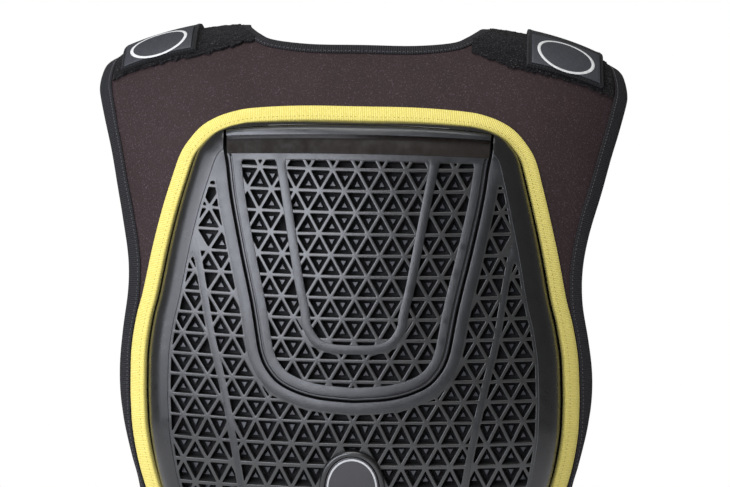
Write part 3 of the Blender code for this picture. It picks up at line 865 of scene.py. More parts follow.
def stripes(tree, attribute, pitch):
    """Even ribs across an attribute in millimetres, from 0 in a furrow to 1 on a rib."""
    along = add_node(tree, "Attribute", attribute_name=attribute).outputs["Fac"]
    wave = reckoned(tree, "SINE", reckoned(tree, "MULTIPLY", along, 2 * math.pi / pitch))
    return reckoned(tree, "MULTIPLY_ADD", wave, 0.5, 0.5)


def mottled(name, colours, tone, gloss=None, relief=None, window=(0.3, 0.7), **values):
    """A material of one uneven colour. tone is what mottle takes, and window the middle
    range of it that shows. gloss is a pattern and a range of roughness, and relief is a
    pattern and a depth in millimetres."""
    material, tree, shader = new_material(name, **values)
    shade = spread(tree, mottle(tree, *tone), 0, 1, *window)
    tree.links.new(blended(tree, shade, *colours), shader.inputs["Base Color"])
    if gloss:
        pattern, limits = gloss
        tree.links.new(spread(tree, mottle(tree, *pattern), *limits), shader.inputs["Roughness"])
    if relief:
        pattern, depth = relief
        bumped(tree, shader, mottle(tree, *pattern), depth)
    return material


def moulded_nylon(name, roughness, grain, depth, colours):
    """Glass-filled nylon, injection moulded: near black and satin, with a broad soft shine.
    The grain is the spark-eroded texture of the mould."""
    limits = (roughness - 0.05, roughness + 0.06)
    return mottled(name, colours, tone=(38,), gloss=((9, 5), limits),
                   relief=((grain, 4, 0.7), depth), IOR=1.56)


def ribbed_tape(name, colours, pitch, depth, sheen):
    """Grosgrain polyester tape: ribs run square to its edge, and the threads shine softly.
    Real ribs lie 0.6 mm apart, and are drawn coarser so that they show. Its colour is darker
    in the furrows, which is painted shade, and mottled at random."""
    material, tree, shader = new_material(name, IOR=1.5, Sheen_Weight=sheen,
                                          Sheen_Roughness=0.4, Roughness=0.85,
                                          Specular_IOR_Level=0.3)
    rib = stripes(tree, "along", pitch)
    # Painted shade: the base colour darkens in the furrows between ribs, times a random tone
    furrow_shade_and_tone = reckoned(tree, "MULTIPLY", rib, mottle(tree, 2.2))
    shade = spread(tree, furrow_shade_and_tone, 0, 1, 0.0, 0.6)
    tree.links.new(blended(tree, shade, *colours), shader.inputs["Base Color"])
    relief = bumped(tree, shader, rib, depth)
    bumped(tree, shader, mottle(tree, 0.7), depth * 0.6, relief)
    return material


def knit_laminate():
    """Stretch polyester knit laminated to foam: a dark red-brown face with faint painted glints
    where the filament would catch light, and a soft bloom at grazing angles."""
    material, tree, shader = new_material("knit_laminate", IOR=1.5, Sheen_Weight=0.06,
                                          Sheen_Roughness=0.45, Roughness=0.8,
                                          Specular_IOR_Level=0.3)
    shader.inputs["Sheen Tint"].default_value = linear("#b8a2ae")
    cloud = spread(tree, mottle(tree, 55, 4), 0, 1)
    base = blended(tree, cloud, "#1d100f", "#231514")
    # Painted glints: sparse lighter specks in the base colour where the filament would catch light
    painted_glint = spread(tree, mottle(tree, 1.2, 2, 0.8), 0, 1, 0.56, 0.74)
    tree.links.new(blended(tree, painted_glint, base, "#453a3f"), shader.inputs["Base Color"])
    relief = bumped(tree, shader, mottle(tree, 1.1, 3, 0.7), 0.18)
    bumped(tree, shader, mottle(tree, 26, 2), 0.9, relief)
    return material


def looped_pile():
    """Brushed nylon loop pile for hook tape: matt black, with painted glints where loose loops
    would catch light.
    """
    return mottled("looped_pile", ("#070607", "#4e4a4b"), tone=(1.3, 3, 0.8),
                   relief=((1.0, 4, 0.8), 0.7), window=(0.57, 0.7), IOR=1.5, Sheen_Weight=0.03,
                   Sheen_Roughness=0.5, Roughness=0.95, Specular_IOR_Level=0.15)


def elastic_webbing():
    """Woven elastic webbing: black rubber core in polyester yarn, ribbed along its length."""
    material, tree, shader = new_material("elastic_webbing", IOR=1.5, Sheen_Weight=0.03,
                                          Sheen_Roughness=0.4, Roughness=0.85,
                                          Specular_IOR_Level=0.3)
    weave = reckoned(tree, "MULTIPLY", stripes(tree, "across", 2.4), stripes(tree, "along", 1.8))
    # Painted shade: the base colour is darkest in the furrows of the weave
    tree.links.new(blended(tree, weave, "#0b0b0c", "#1b1b1d"), shader.inputs["Base Color"])
    relief = bumped(tree, shader, weave, 0.4)
    bumped(tree, shader, mottle(tree, 0.9), 0.15, relief)
    return material


def grained_rubber():
    """Soft PVC badge patch: dark grey, matt, with a fine sanded grain."""
    return mottled("grained_rubber", ("#1d1e22", "#323338"), tone=(1.2, 3, 0.7),
                   gloss=((5,), (0.5, 0.66)), relief=((0.8, 4, 0.7), 0.12), IOR=1.53)


def closed_foam():
    """Cross-linked foam pad: black and matt, with skinned pores."""
    return mottled("closed_foam", ("#0b0b0c", "#161617"), tone=(3,), gloss=((4,), (0.75, 0.9)),
                   relief=((0.9, 4), 0.2), IOR=1.45)


def stud_rubber():
    """Moulded rubber studs: black and smooth so that their tops catch light, and lighter than the
    foam, which is painted highlight.
    """
    return mottled("stud_rubber", ("#2a2b2e", "#404145"), tone=(14,), gloss=((3,), (0.3, 0.45)),
                   relief=((0.8,), 0.05), IOR=1.52)


def printed_ink(name, colours):
    """Raised silicone print: an opaque pale line, slightly uneven."""
    return mottled(name, colours, tone=(2.5,), gloss=((2,), (0.4, 0.55)), relief=((0.6,), 0.04),
                   IOR=1.41)


def sewing_thread(name, colours):
    """Polyester sewing thread: matt, and lighter in places."""
    return mottled(name, colours, tone=(0.8,), relief=((0.5,), 0.08), IOR=1.5,
                   Sheen_Weight=0.3, Roughness=0.7)


def painted_floor():
    """Pale paper floor and backdrop, even and matt."""
    return mottled("painted_floor", ("#f6f6f6", "#fbfbfb"), tone=(900,), Roughness=0.9)


RIM_NYLON = moulded_nylon("rim_nylon", 0.3, 0.8, 0.015, ("#0e0e0e", "#131312"))
BAND_NYLON = moulded_nylon("band_nylon", 0.33, 0.9, 0.13, ("#141516", "#1a1b1c"))
# Lattice bars: the same nylon as the bands, with a lighter base colour that is a painted highlight
# on their rounded edges
BAR_NYLON_PAINTED_HIGHLIGHT = moulded_nylon("bar_nylon_painted_highlight", 0.31, 0.8, 0.04, ("#1f1f1e", "#282827"))
# Recess nylon: smooth, glossy black, with a brown tint in its base colour that is a painted
# reflection of the brown cloth
SMOOTH_NYLON_PAINTED_REFLECTION = moulded_nylon("smooth_nylon_painted_reflection", 0.2, 1.2, 0.004, ("#15110e", "#1b1613"))
BADGE_NYLON = moulded_nylon("badge_nylon", 0.4, 0.7, 0.02, ("#1f1e20", "#272628"))
KNIT = knit_laminate()
BLACK_TAPE = ribbed_tape("black_grosgrain", ("#050506", "#232225"), 1.7, 0.5, 0.02)
YELLOW_TAPE = ribbed_tape("yellow_grosgrain", ("#b5a64c", "#ccc074"), 1.4, 0.2, 0.04)
PILE = looped_pile()
WEBBING = elastic_webbing()
PATCH_RUBBER = grained_rubber()
FOAM = closed_foam()
STUDS = stud_rubber()
RING_INK = printed_ink("ring_ink", ("#b0b0ad", "#c2c2bf"))
BADGE_INK = printed_ink("badge_ink", ("#949493", "#a6a6a5"))
BLACK_THREAD = sewing_thread("black_thread", ("#1c1c1e", "#3a393b"))
DARK_THREAD = sewing_thread("dark_thread", ("#6b5c1c", "#8d7c33"))


# Cloth


def bridge_all(bm, rings):
    """Joins rings of points with faces. Each ring is a closed loop along an edge, and the
    last ring joins the first, which makes a closed section."""
    edges = [[bm.edges.new((ring[i], ring[(i + 1) % len(ring)])) for i in range(len(ring))]
             for ring in rings]
    for near, far in zip(edges, edges[1:] + edges[:1]):
        bmesh.ops.bridge_loops(bm, edges=near + far)


def build_panel():
    """The knit panel with rounded edges, one sheet with a window for the shell."""
    bm = flat_sheet(PANEL.loop, [OPENING.loop], [WINDOW.loop], PANEL_GRID)
    thicken(bm, PANEL_CLOTH, PANEL_CLOTH)
    lay(bm, on_torso)
    return add_piece("panel_knit", bm, [KNIT], ["back_panel"])


def tape_section():
    """Section of a folded tape. Each corner is a share of the leg that it lies on, or 0 and
    a reach from the cloth's edge, and then its lift."""
    over = PANEL_CLOTH + CLOTH_GAP
    tip = BINDING_CLOTH + CLOTH_GAP
    top = over + BINDING_CLOTH
    return (
        (1.0, 0, over), (1.0, 0, top - 0.25), (0.97, 0, top), (0.6, 0, top + 0.12),
        (0.25, 0, top + 0.12), (0, 0, top), (0, -tip * 0.75, top - 0.35), (0, -tip, over - 0.6),
        (0, -tip, 0.6), (0, -tip * 0.75, -tip + 0.35), (0, 0, -tip), (0.5, 0, -tip - 0.05),
        (1.0, 0, -tip), (1.0, 0, -CLOTH_GAP), (0, -CLOTH_GAP, -CLOTH_GAP),
        (0, -CLOTH_GAP, over),
    )


def build_tape(name, half, legs, side, material, node):
    """Folded tape round an edge of the panel. side is 1 where the cloth lies inside the
    outline, and -1 where it lies outside."""
    bm = bmesh.new()
    along = bm.verts.layers.float.new("along")
    rings = []
    for share, reach, lift in tape_section():
        reaches = [side * (leg * share if share else reach) for leg in legs]
        flat = both_sides(moved_in(half, reaches))
        ring = []
        for index, point in enumerate(flat):
            vert = bm.verts.new(on_torso(point.x, -point.y, lift))
            vert[along] = EDGE_STEP * min(index, len(flat) - index)
            ring.append(vert)
        rings.append(ring)
    bridge_all(bm, rings)
    bmesh.ops.recalc_face_normals(bm, faces=bm.faces)
    return add_piece(name, bm, [material], [node], angle=60)


def stitch_row(name, line, pitch, size, lift, material):
    """A row of short sunk stitches along a flat line. size is length, width and height."""
    single = bmesh.new()
    bmesh.ops.create_uvsphere(single, u_segments=6, v_segments=4, radius=0.5)
    stitch = bpy.data.meshes.new("stitch")
    single.to_mesh(stitch)
    single.free()
    bm = bmesh.new()
    places = spaced(line, pitch)
    for before, point, after in zip(places, places[1:], places[2:]):
        along = (after - before).normalized()
        centre = on_torso(point.x, -point.y, lift)
        ahead = (on_torso(point.x + along.x, -point.y - along.y, lift) - centre).normalized()
        out = (on_torso(point.x, -point.y, lift + 1) - centre).normalized()
        turn = Matrix((ahead, out.cross(ahead).normalized(), out)).transposed().to_4x4()
        place = Matrix.Translation(centre) @ turn @ Matrix.Diagonal((*size, 1))
        stitch.transform(place)
        bm.from_mesh(stitch)
        stitch.transform(place.inverted())
    bpy.data.meshes.remove(stitch)
    return add_piece(name, bm, [material])


def build_cloth():
    """The panel with its two tapes and their stitches."""
    panel = build_panel()
    edge_legs = [min(EDGE_BINDING_WIDTH, -WINDOW.distance(*point) - 1) for point in PANEL_HALF]
    edge = build_tape("edge_tape", PANEL_HALF, edge_legs, 1, BLACK_TAPE,
                      "edge_binding")
    window_legs = [WINDOW_BINDING_WIDTH + top_extra(point) for point in window_line()]
    window = build_tape("window_tape", window_half(WINDOW_BINDING_WIDTH), window_legs, -1,
                        YELLOW_TAPE, "window_binding")
    lift = PANEL_CLOTH + CLOTH_GAP + BINDING_CLOTH + STITCH_LIFT
    line = both_sides(window_half(WINDOW_BINDING_WIDTH - WINDOW_STITCH_INSET))
    window_stitches = stitch_row("window_stitches", line + line[:1], WINDOW_STITCH_PITCH,
                                 WINDOW_STITCH, lift, DARK_THREAD)
    line = both_sides(moved_in(PANEL_HALF, [leg - EDGE_STITCH_INSET for leg in edge_legs]))
    edge_stitches = stitch_row("edge_stitches", line + line[:1], EDGE_STITCH_PITCH,
                               EDGE_STITCH, lift, BLACK_THREAD)
    panel_cut()


def panel_cut():
    """Mean width and length in metres of the ring of cloth that is left round the window."""
    around = (PANEL.length() + OPENING.length()) / 2
    return (PANEL.area() - OPENING.area()) / around * MM, around * MM


# Shell and insert


def lattice_cuts():
    """Lines of the triangular lattice, each as a point and the way square to it."""
    lean = LATTICE_PITCH / 2 / LATTICE_ROW
    reach = math.ceil(PANEL_LENGTH / LATTICE_ROW)
    cuts = [((0, -LATTICE_START - row * LATTICE_ROW, 0), (0, 1, 0)) for row in range(-2, reach)]
    for column in range(-reach, reach):
        start = (column * LATTICE_PITCH, -LATTICE_START, 0)
        cuts += [(start, (1, lean, 0)), (start, (1, -lean, 0))]
    return cuts


def shrunk(loop, distance):
    """A flat cell cut back from all its edges, or nothing where too little of it is left."""
    kept = loop
    for start, end in zip(loop, loop[1:] + loop[:1]):
        inward = Vector((start.y - end.y, end.x - start.x)).normalized()
        heights = [(point - start).dot(inward) - distance for point in kept]
        cut = []
        for index, point in enumerate(kept):
            before, height = heights[index - 1], heights[index]
            if (before > 0) != (height > 0):
                cut.append(kept[index - 1].lerp(point, before / (before - height)))
            if height > 0:
                cut.append(point)
        kept = [point for index, point in enumerate(cut)
                if (point - cut[index - 1]).length > SHORTEST_EDGE]
        if len(kept) < 3:
            return []
    outline = Outline(kept)
    return kept if 2 * outline.area() / outline.length() > SMALLEST_HOLE else []


def softened(loop):
    """A flat loop with its sharp corners rounded."""
    soft = []
    for index, point in enumerate(loop):
        back = loop[index - 1] - point
        ahead = loop[(index + 1) % len(loop)] - point
        if (-back).angle(ahead, 0) < STRAIGHT_ANGLE:
            soft.append(point)
            continue
        reach = min(HOLE_ROUNDING, 0.4 * min(back.length, ahead.length))
        start = point + back.normalized() * reach
        end = point + ahead.normalized() * reach
        soft += [start, (start + point * 2 + end) / 4, end]
    return soft


def stud_spot(point):
    """Middle of the lattice triangle round a point, and the way that its tip points."""
    down = (-point.y - LATTICE_START) / LATTICE_ROW
    row = math.floor(down)
    left = math.floor(point.x / LATTICE_PITCH - down / 2)
    right = math.floor(point.x / LATTICE_PITCH + down / 2)
    way = 1 if right - left > row else -1
    level = row + (2 / 3 if way > 0 else 1 / 3)
    return (left + right + 1) / 2 * LATTICE_PITCH, -LATTICE_START - level * LATTICE_ROW, way


# Rounded edge of a hole: reach past the hole and depth, as shares of the rounding
HOLE_EDGE = ((1.0, 0.0), (0.5, 0.134), (0.134, 0.5), (0.0, 1.0))


def fill_between(bm, outer, inner):
    """Flat faces between a loop of points and a hole in it."""
    verts = outer + inner
    loops = [[vert.co for vert in outer], [vert.co for vert in inner]]
    for corners in tessellate_polygon(loops):
        bm.faces.new([verts[corner] for corner in corners])


def cut_hole(bm, hole, tops, bottoms):
    """Walls of a hole with rounded front edges, between a cell's front and back corners."""
    levels = [(reach * BAR_ROUNDING, sink * BAR_ROUNDING) for reach, sink in HOLE_EDGE]
    rings = [[bm.verts.new((point.x, point.y, -sink)) for point in grown(hole, reach)]
             for reach, sink in levels + [(0.0, LATTICE_DEPTH)]]
    fill_between(bm, tops, rings[0])
    fill_between(bm, bottoms, rings[-1])
    for near, far in zip(rings, rings[1:]):
        for i in range(len(near)):
            bm.faces.new((near[i - 1], near[i], far[i], far[i - 1]))


def lattice_field(outline, studs):
    """Bars of one lattice field, as a wall with round-cornered holes. Each stud that has
    room in a hole goes to studs."""
    cells = bmesh.new()
    cells.faces.new([cells.verts.new((point.x, point.y, 0)) for point in outline])
    for place, normal in lattice_cuts():
        bmesh.ops.bisect_plane(cells, geom=cells.verts[:] + cells.edges[:] + cells.faces[:],
                               dist=CUT_MERGE, plane_co=place, plane_no=normal)
    bmesh.ops.remove_doubles(cells, verts=cells.verts, dist=CELL_MERGE)
    bm = bmesh.new()
    front = {vert: bm.verts.new(vert.co) for vert in cells.verts}
    back = {vert: bm.verts.new((*vert.co.xy, -LATTICE_DEPTH)) for vert in cells.verts}
    for cell in cells.faces:
        loop = [vert.co.xy for vert in cell.verts]
        if cell.normal.z < 0:
            loop.reverse()
        middle = sum(loop, Vector((0, 0))) / len(loop)
        clear = (middle - Vector((0, -BADGE_DOWN))).length > COLLAR_RADIUS - COLLAR_COVER
        hole = softened(shrunk(loop, LATTICE_BAR / 2)) if clear else []
        tops, bottoms = [front[vert] for vert in cell.verts], [back[vert] for vert in cell.verts]
        if not hole:
            bm.faces.new(tops)
            bm.faces.new(bottoms)
            continue
        cut_hole(bm, hole, tops, bottoms)
        x, y, way = stud_spot(middle)
        if Outline(hole).distance(x, y) > STUD_RADIUS:
            studs.append((x, y, way))
    for edge in cells.edges:
        if edge.is_boundary:
            start, end = edge.verts
            bm.faces.new((front[start], front[end], back[end], back[start]))
    cells.free()
    bmesh.ops.recalc_face_normals(bm, faces=bm.faces)
    bmesh.ops.translate(bm, verts=bm.verts, vec=(0, 0, -LATTICE_SINK))
    lay(bm, through_shell)
    return bm


def grown(loop, distance):
    """Closed flat loop moved outwards by a small distance."""
    area = sum(a.x * b.y - a.y * b.x for a, b in zip(loop, loop[1:] + loop[:1]))
    sign = 1 if area > 0 else -1
    moved = []
    for index, point in enumerate(loop):
        along = (loop[(index + 1) % len(loop)] - loop[index - 1]).normalized()
        moved.append(point + Vector((along.y, -along.x)) * distance * sign)
    return moved


def shell_fields():
    """Flat outlines of the shell's lattice: one at each side and one in the middle."""
    outer = window_half(LATTICE_EDGE)
    band = [point for point in groove_half(-GROOVE / 2 - OUTER_BAND)
            if LATTICE.distance(*point) > 2]
    rib_out = rib_edge(-SIDE_RIB / 2)
    rib_in = rib_edge(SIDE_RIB / 2)
    beside = [p for p in outer if rib_out[-1].y < p.y < rib_out[0].y and p.x > rib_out[-1].x]
    above = [p for p in outer if rib_in[0].y < p.y < band[0].y and p.x > band[0].x]
    below = [p for p in outer if p.y < rib_in[-1].y and p.x < rib_in[-1].x]
    side = beside + rib_out[::-1]
    half = above + rib_in + below
    middle = half + mirrored(half[:-1])[::-1] + mirrored(band) + band[-2::-1]
    return [side, mirrored(side)[::-1], middle]


def insert_fields():
    """Flat outlines of the insert's lattice: inside its inner band, and the U round it."""
    lines = []
    for line in (inner_band_half(INNER_BAND / 2), inner_band_half(-INNER_BAND / 2),
                 groove_half(GROOVE / 2 + BORDER_BAND)):
        kept = [point for point in line if -point.y > head_edge(3, point.x) + 1]
        lines.append([Vector((kept[0].x, -head_edge(3, kept[0].x)))] + kept)
    inside, around, border = lines
    ring = border + mirrored(border[:-1])[::-1] + mirrored(around) + around[-2::-1]
    return [both_sides(arch(3, inside[0].x)[:-1] + inside), ring]


def add_studs(bm, studs):
    """Three-sided studs that rise from the pad into the lattice's holes."""
    height = SHELL_DEPTH + PAD_GAP - STUD_SINK
    for x, y, way in studs:
        spot = Matrix.Translation((x, y, -STUD_SINK - height / 2))
        turn = Matrix.Rotation(math.pi * (way > 0), 4, "Z") @ Matrix.Rotation(math.pi, 4, "X")
        made = bmesh.ops.create_cone(bm, cap_ends=True, segments=3, depth=height,
                                     radius1=STUD_RADIUS, radius2=STUD_RADIUS * STUD_FLARE,
                                     matrix=spot @ turn)
        for vert in made["verts"]:
            vert.co = through_shell(vert.co.x, -vert.co.y, vert.co.z)


def circle(radius, count=64):
    """Flat circle about the badge's middle."""
    turns = [2 * math.pi * step / count for step in range(count)]
    return [Vector((radius * math.cos(t), radius * math.sin(t) - BADGE_DOWN)) for t in turns]


def build_shell(studs):
    """The shell: flange, rim, band and ribs as one sheet, its bars, and the badge's seat."""
    fields = shell_fields()
    opening = u_outline(-GROOVE / 2, -HEAD_GAP)
    flange_edge = both_sides(window_half(WINDOW_BINDING_WIDTH - FLANGE_OVERLAP))
    bends = [both_sides(window_half(RIM_FOOT + share * RIM_WIDTH)) for share in RIM_BENDS]
    bends.append(both_sides(window_half(RIM_FOOT + RIM_WIDTH + RIM_STEP)))
    frame_sheet = flat_sheet(flange_edge, [opening, *fields], bends, SHELL_GRID)
    thicken(frame_sheet, SHELL_DEPTH)
    round_front(frame_sheet, SHELL_ROUNDING)
    rim_end = RIM_FOOT - WINDOW_BINDING_WIDTH + RIM_WIDTH + RIM_STEP / 2

    def place(across, down, height):
        step = RIM_STEP if OPENING.distance(across, -down) > rim_end and height > -1 else 0
        return through_shell(across, down, height - step)

    for face in frame_sheet.faces:
        centre = face.calc_center_median()
        face.material_index = int(OPENING.distance(centre.x, centre.y) > rim_end)
    lay(frame_sheet, place)
    bars = [lattice_field(grown(field, LATTICE_BAR / 2), studs) for field in fields]
    seat = flat_sheet(circle(COLLAR_RADIUS - SEAT_INSET), grid=SEAT_GRID)
    thicken(seat, LATTICE_DEPTH)
    lay(seat, lambda across, down, height: through_shell(across, down, height - SEAT_SINK))
    # The bars take the lighter nylon, whose base colour is a painted highlight.
    whole = joined([(1, seat)] + [(2, bar) for bar in bars] + [(None, frame_sheet)])
    return add_piece("shell_moulding", whole, [RIM_NYLON, BAND_NYLON, BAR_NYLON_PAINTED_HIGHLIGHT],
                     ["outer_shell"])


def insert_relief(across, down, edge, recess):
    """Height of the insert's front over the shell's: bead, band, lip and recess."""
    top, bottom = head_edge(0, across), head_edge(1, across)
    if down < bottom:
        share = max(0.0, (down - top) / (bottom - top))
        return INSERT_RISE + LIP_RISE * math.sin(math.pi * share) ** LIP_ROUNDNESS
    depth = recess.distance(across, -down)
    if depth > -0.01:
        lower = head_edge(2, across)
        floor = RECESS_DEPTH - RECESS_TILT * (down - bottom) / (lower - bottom)
        return INSERT_RISE - (INSERT_RISE + floor) * min(1.0, depth / RECESS_SLOPE)
    inside = max(0.0, edge.distance(across, -down))
    for near, far in zip(BEAD_ROWS, BEAD_ROWS[1:]):
        if inside < far[0]:
            share = (inside - near[0]) / (far[0] - near[0])
            return INSERT_RISE - near[1] - (far[1] - near[1]) * share
    return INSERT_RISE


def recess_loop(inset):
    """Flat outline of the insert's recess, with round lower corners."""
    reach = INSERT_HALF_WIDTH - GROOVE / 2 - RECESS_WALL - inset
    corner = RECESS_CORNER - inset
    lower = arch(2, reach - corner, -inset)
    for step in range(1, 6):
        angle = math.pi / 2 * step / 5
        x = reach - corner + corner * math.sin(angle)
        lower.append(Vector((x, -head_edge(2, x) + inset + corner * (1 - math.cos(angle)))))
    return both_sides(arch(1, reach, inset) + lower[::-1])


def build_insert(studs):
    """The insert: its frame with the lip and recess of its head, and its bars."""
    outline = u_outline(GROOVE / 2 - BEAD_REACH)
    edge = Outline(outline)
    recess = Outline(recess_loop(0.0))
    slope = recess_loop(RECESS_SLOPE)
    fields = insert_fields()
    beads = [u_outline(GROOVE / 2 - BEAD_REACH + reach, reach)
             for reach, drop in BEAD_ROWS[1:]]
    bm = flat_sheet(outline, fields, [recess.loop, slope, *beads], INSERT_GRID)
    thicken(bm, SHELL_DEPTH)
    round_front(bm, INSERT_ROUNDING)
    # Faces of the recess take the smooth nylon, whose brown tint is a painted reflection.
    for face in bm.faces:
        centre = face.calc_center_median()
        face.material_index = int(centre.z > -1 and recess.distance(centre.x, centre.y) > 0.05)

    def place(across, down, height):
        if height < -SHELL_DEPTH / 2:
            return through_shell(across, down, height)
        rise = insert_relief(across, down, edge, recess)
        front = on_shell(across, down, -rise)
        return front + (on_shell(across, down, -rise + 1) - front) * -height

    lay(bm, place)
    bars = [lattice_field(grown(field, LATTICE_BAR / 2), studs) for field in fields]
    for bar in bars:
        for vert in bar.verts:
            vert.co += middle_line(INSERT_MIDDLE)[1] * (INSERT_RISE - BAR_SINK)
    # The bars take the lighter nylon, whose base colour is a painted highlight.
    whole = joined([(2, bar) for bar in bars] + [(None, bm)])
    return add_piece("insert_moulding", whole, [BAND_NYLON, SMOOTH_NYLON_PAINTED_REFLECTION, BAR_NYLON_PAINTED_HIGHLIGHT],
                     ["insert_plate"])


def build_pad(studs):
    """The foam pad behind the lattice, with its rubber studs."""
    bm = flat_sheet(both_sides(window_half(RIM_FOOT + PAD_INSET)), grid=PAD_GRID)
    thicken(bm, PAD_WALL)

    def place(across, down, height):
        if height < -PAD_WALL / 2:
            return on_torso(across, down, -PAD_SINK)
        return behind_shell(across, down, PAD_GAP)

    lay(bm, place)
    pins = bmesh.new()
    add_studs(pins, studs)
    pad = add_piece("foam_pad", joined([(0, bm), (1, pins)]), [FOAM, STUDS],
                    ["impact_pad"])


def turned(profile, segments=96):
    """Closed ring about the badge's middle, from a profile of radius and height."""
    bm = bmesh.new()
    verts = [bm.verts.new((radius, 0, height)) for radius, height in profile]
    edges = [bm.edges.new((verts[i], verts[(i + 1) % len(verts)])) for i in range(len(verts))]
    bmesh.ops.spin(bm, geom=verts + edges, cent=(0, 0, 0), axis=(0, 0, 1),
                   angle=2 * math.pi, steps=segments, use_merge=True)
    bmesh.ops.remove_doubles(bm, verts=bm.verts, dist=0.001)
    bmesh.ops.recalc_face_normals(bm, faces=bm.faces)
    bmesh.ops.translate(bm, verts=bm.verts, vec=(0, -BADGE_DOWN, 0))
    return bm


def printed_ring(near, far, low, high, bevel, bevel_drop):
    """Raised print between two radii, with bevelled upper edges."""
    edge = high - bevel_drop
    return turned(((near, low), (far, low), (far, edge), (far - bevel, high),
                   (near + bevel, high), (near, edge)))


def build_badge():
    """The collar and the bare badge face with its plain printed ring."""
    inner = BADGE_RADIUS + GAP
    collar = turned((
        (inner, CLOTH_GAP), (COLLAR_RADIUS, CLOTH_GAP), (COLLAR_RADIUS, COLLAR_RISE * 0.55),
        (COLLAR_RADIUS - 0.5, COLLAR_RISE * 0.85), (COLLAR_RADIUS - 1.5, COLLAR_RISE),
        (inner + 1.6, COLLAR_RISE * 0.98), (inner + 0.6, COLLAR_RISE * 0.85),
        (inner, COLLAR_RISE * 0.6),
    ))
    lay(collar, through_shell)
    add_piece("badge_collar_moulding", collar, [RIM_NYLON], ["badge_collar"])
    creases = [circle(BADGE_RING[0] - 0.5), circle(BADGE_RADIUS - 0.7)]
    face = flat_sheet(circle(BADGE_RADIUS), creases=creases, grid=BADGE_GRID)
    thicken(face, BADGE_RISE - CLOTH_GAP, BADGE_RISE)
    round_front(face, BADGE_ROUNDING, BADGE_RISE)
    lay(face, through_shell)
    ring = printed_ring(*BADGE_RING, low=BADGE_RISE - 0.1, high=BADGE_RISE + 0.18,
                        bevel=0.2, bevel_drop=0.1)
    lay(ring, through_shell)
    add_piece("badge_face", joined([(0, face), (1, ring)]), [BADGE_NYLON, BADGE_INK],
              ["badge_disc"])


# Straps and belt


def woven_strip(place, width, length, cloth, columns, rows, ends_round=True):
    """A strip of cloth, modelled flat on a grid and then put in place. It keeps how far
    along and across each point lies, in millimetres, for its weave."""
    bm = bmesh.new()
    bmesh.ops.create_grid(bm, x_segments=columns, y_segments=rows, size=0.5)
    bmesh.ops.scale(bm, vec=(width, length, 1), verts=bm.verts)
    bmesh.ops.translate(bm, verts=bm.verts, vec=(0, length / 2, 0))
    thicken(bm, cloth, cloth)
    if ends_round:
        round_front(bm, cloth * STRIP_ROUNDING, cloth)
        round_front(bm, cloth * STRIP_ROUNDING, 0.0)
    along = bm.verts.layers.float.new("along")
    across = bm.verts.layers.float.new("across")
    for vert in bm.verts:
        vert[along] = vert.co.y
        vert[across] = vert.co.x
        vert.co = place(*vert.co)
    bmesh.ops.recalc_face_normals(bm, faces=bm.faces)
    return bm


def fuzz(point, amount, size):
    """Small uneven rise of a pile at a place."""
    return amount * noise.fractal(Vector(point) / size, FUZZ_FALL, FUZZ_STEP, FUZZ_OCTAVES)


def across_at(rows, down):
    """How far across an edge of the panel lies at this length down."""
    rows = tuple((length * PANEL_LENGTH, width * PANEL_HALF_WIDTH) for width, length in rows)
    return read_rows(rows, down, 1)


PILE_SEAT = PANEL_CLOTH + SOFT_GAP
STRAP_SEAT = PILE_SEAT + LOOP_PILE + SOFT_GAP


def build_pile(side, label):
    """The loop patch of one shoulder: its inner part is shorter, and its end is ragged."""
    margin = EDGE_BINDING_WIDTH + LOOP_MARGIN
    length = LOOP_BACK_END - WING_FRONT - margin

    def place(x, y, z):
        taper = LOOP_TAPER * max(0.0, 1 - (x + 0.5) / 0.4) ** 1.5
        end = LOOP_BACK_END + TAB_SHIFTS[side] - taper
        down = end - y * (end + length - LOOP_BACK_END) / length
        neck = across_at(NECK_ROWS[2:], down) + LOOP_NECK_MARGIN
        inner = max(neck, PANEL_HALF_WIDTH * LOOP_INNER_SHARE)
        outer = across_at(SIDE_ROWS[:5], down) - margin
        across = side * (inner + (outer - inner) * (x + 0.5))
        ragged = fuzz((across, down, 3 * side), *PILE_EDGE_FUZZ) if y < 4 else 0.0
        rise = fuzz((across, down, side), *PILE_FUZZ) if z > LOOP_PILE / 2 else 0.0
        return on_torso(across, down + ragged, PILE_SEAT + z + rise)

    pile = woven_strip(place, 1.0, length, LOOP_PILE, 64, 52, ends_round=False)
    add_piece("loop_pile_" + label, pile, [PILE], ["shoulder_loop_" + label],
              angle=80)


def build_strap(side, label):
    """One shoulder strap with its tab patch, from the back over the shoulder to the belt."""
    low_seat = BELT_SEAT + SOFT_GAP

    def place(x, y, z):
        down = STRAP_TAB_END + TAB_SHIFTS[side] - y
        out, width, rise = (read_rows(STRAP_ROWS, down, column) for column in (1, 2, 3))
        lift = low_seat + (STRAP_SEAT - low_seat) * rise + z
        if z > STRAP_CLOTH / 2:
            from_hem = abs(x) - STRAP_WIDTH / 2 + SIDE_HEM[0]
            lift += HEM_RISE * math.exp(-(from_hem / SIDE_HEM[1]) ** 2)
            lift += HEM_RISE * math.exp(-((y - END_HEM[0]) / END_HEM[1]) ** 2)
        return on_torso(side * (STRAP_OUT * out + x * width), down, lift)

    strap = woven_strip(place, STRAP_WIDTH, STRAP_LENGTH, STRAP_CLOTH, 36, 200,
                        ends_round=False)
    strap = add_piece("shoulder_strap_" + label, strap, [WEBBING],
                      ["strap_" + label], angle=60)
    face = build_tab(side, label)


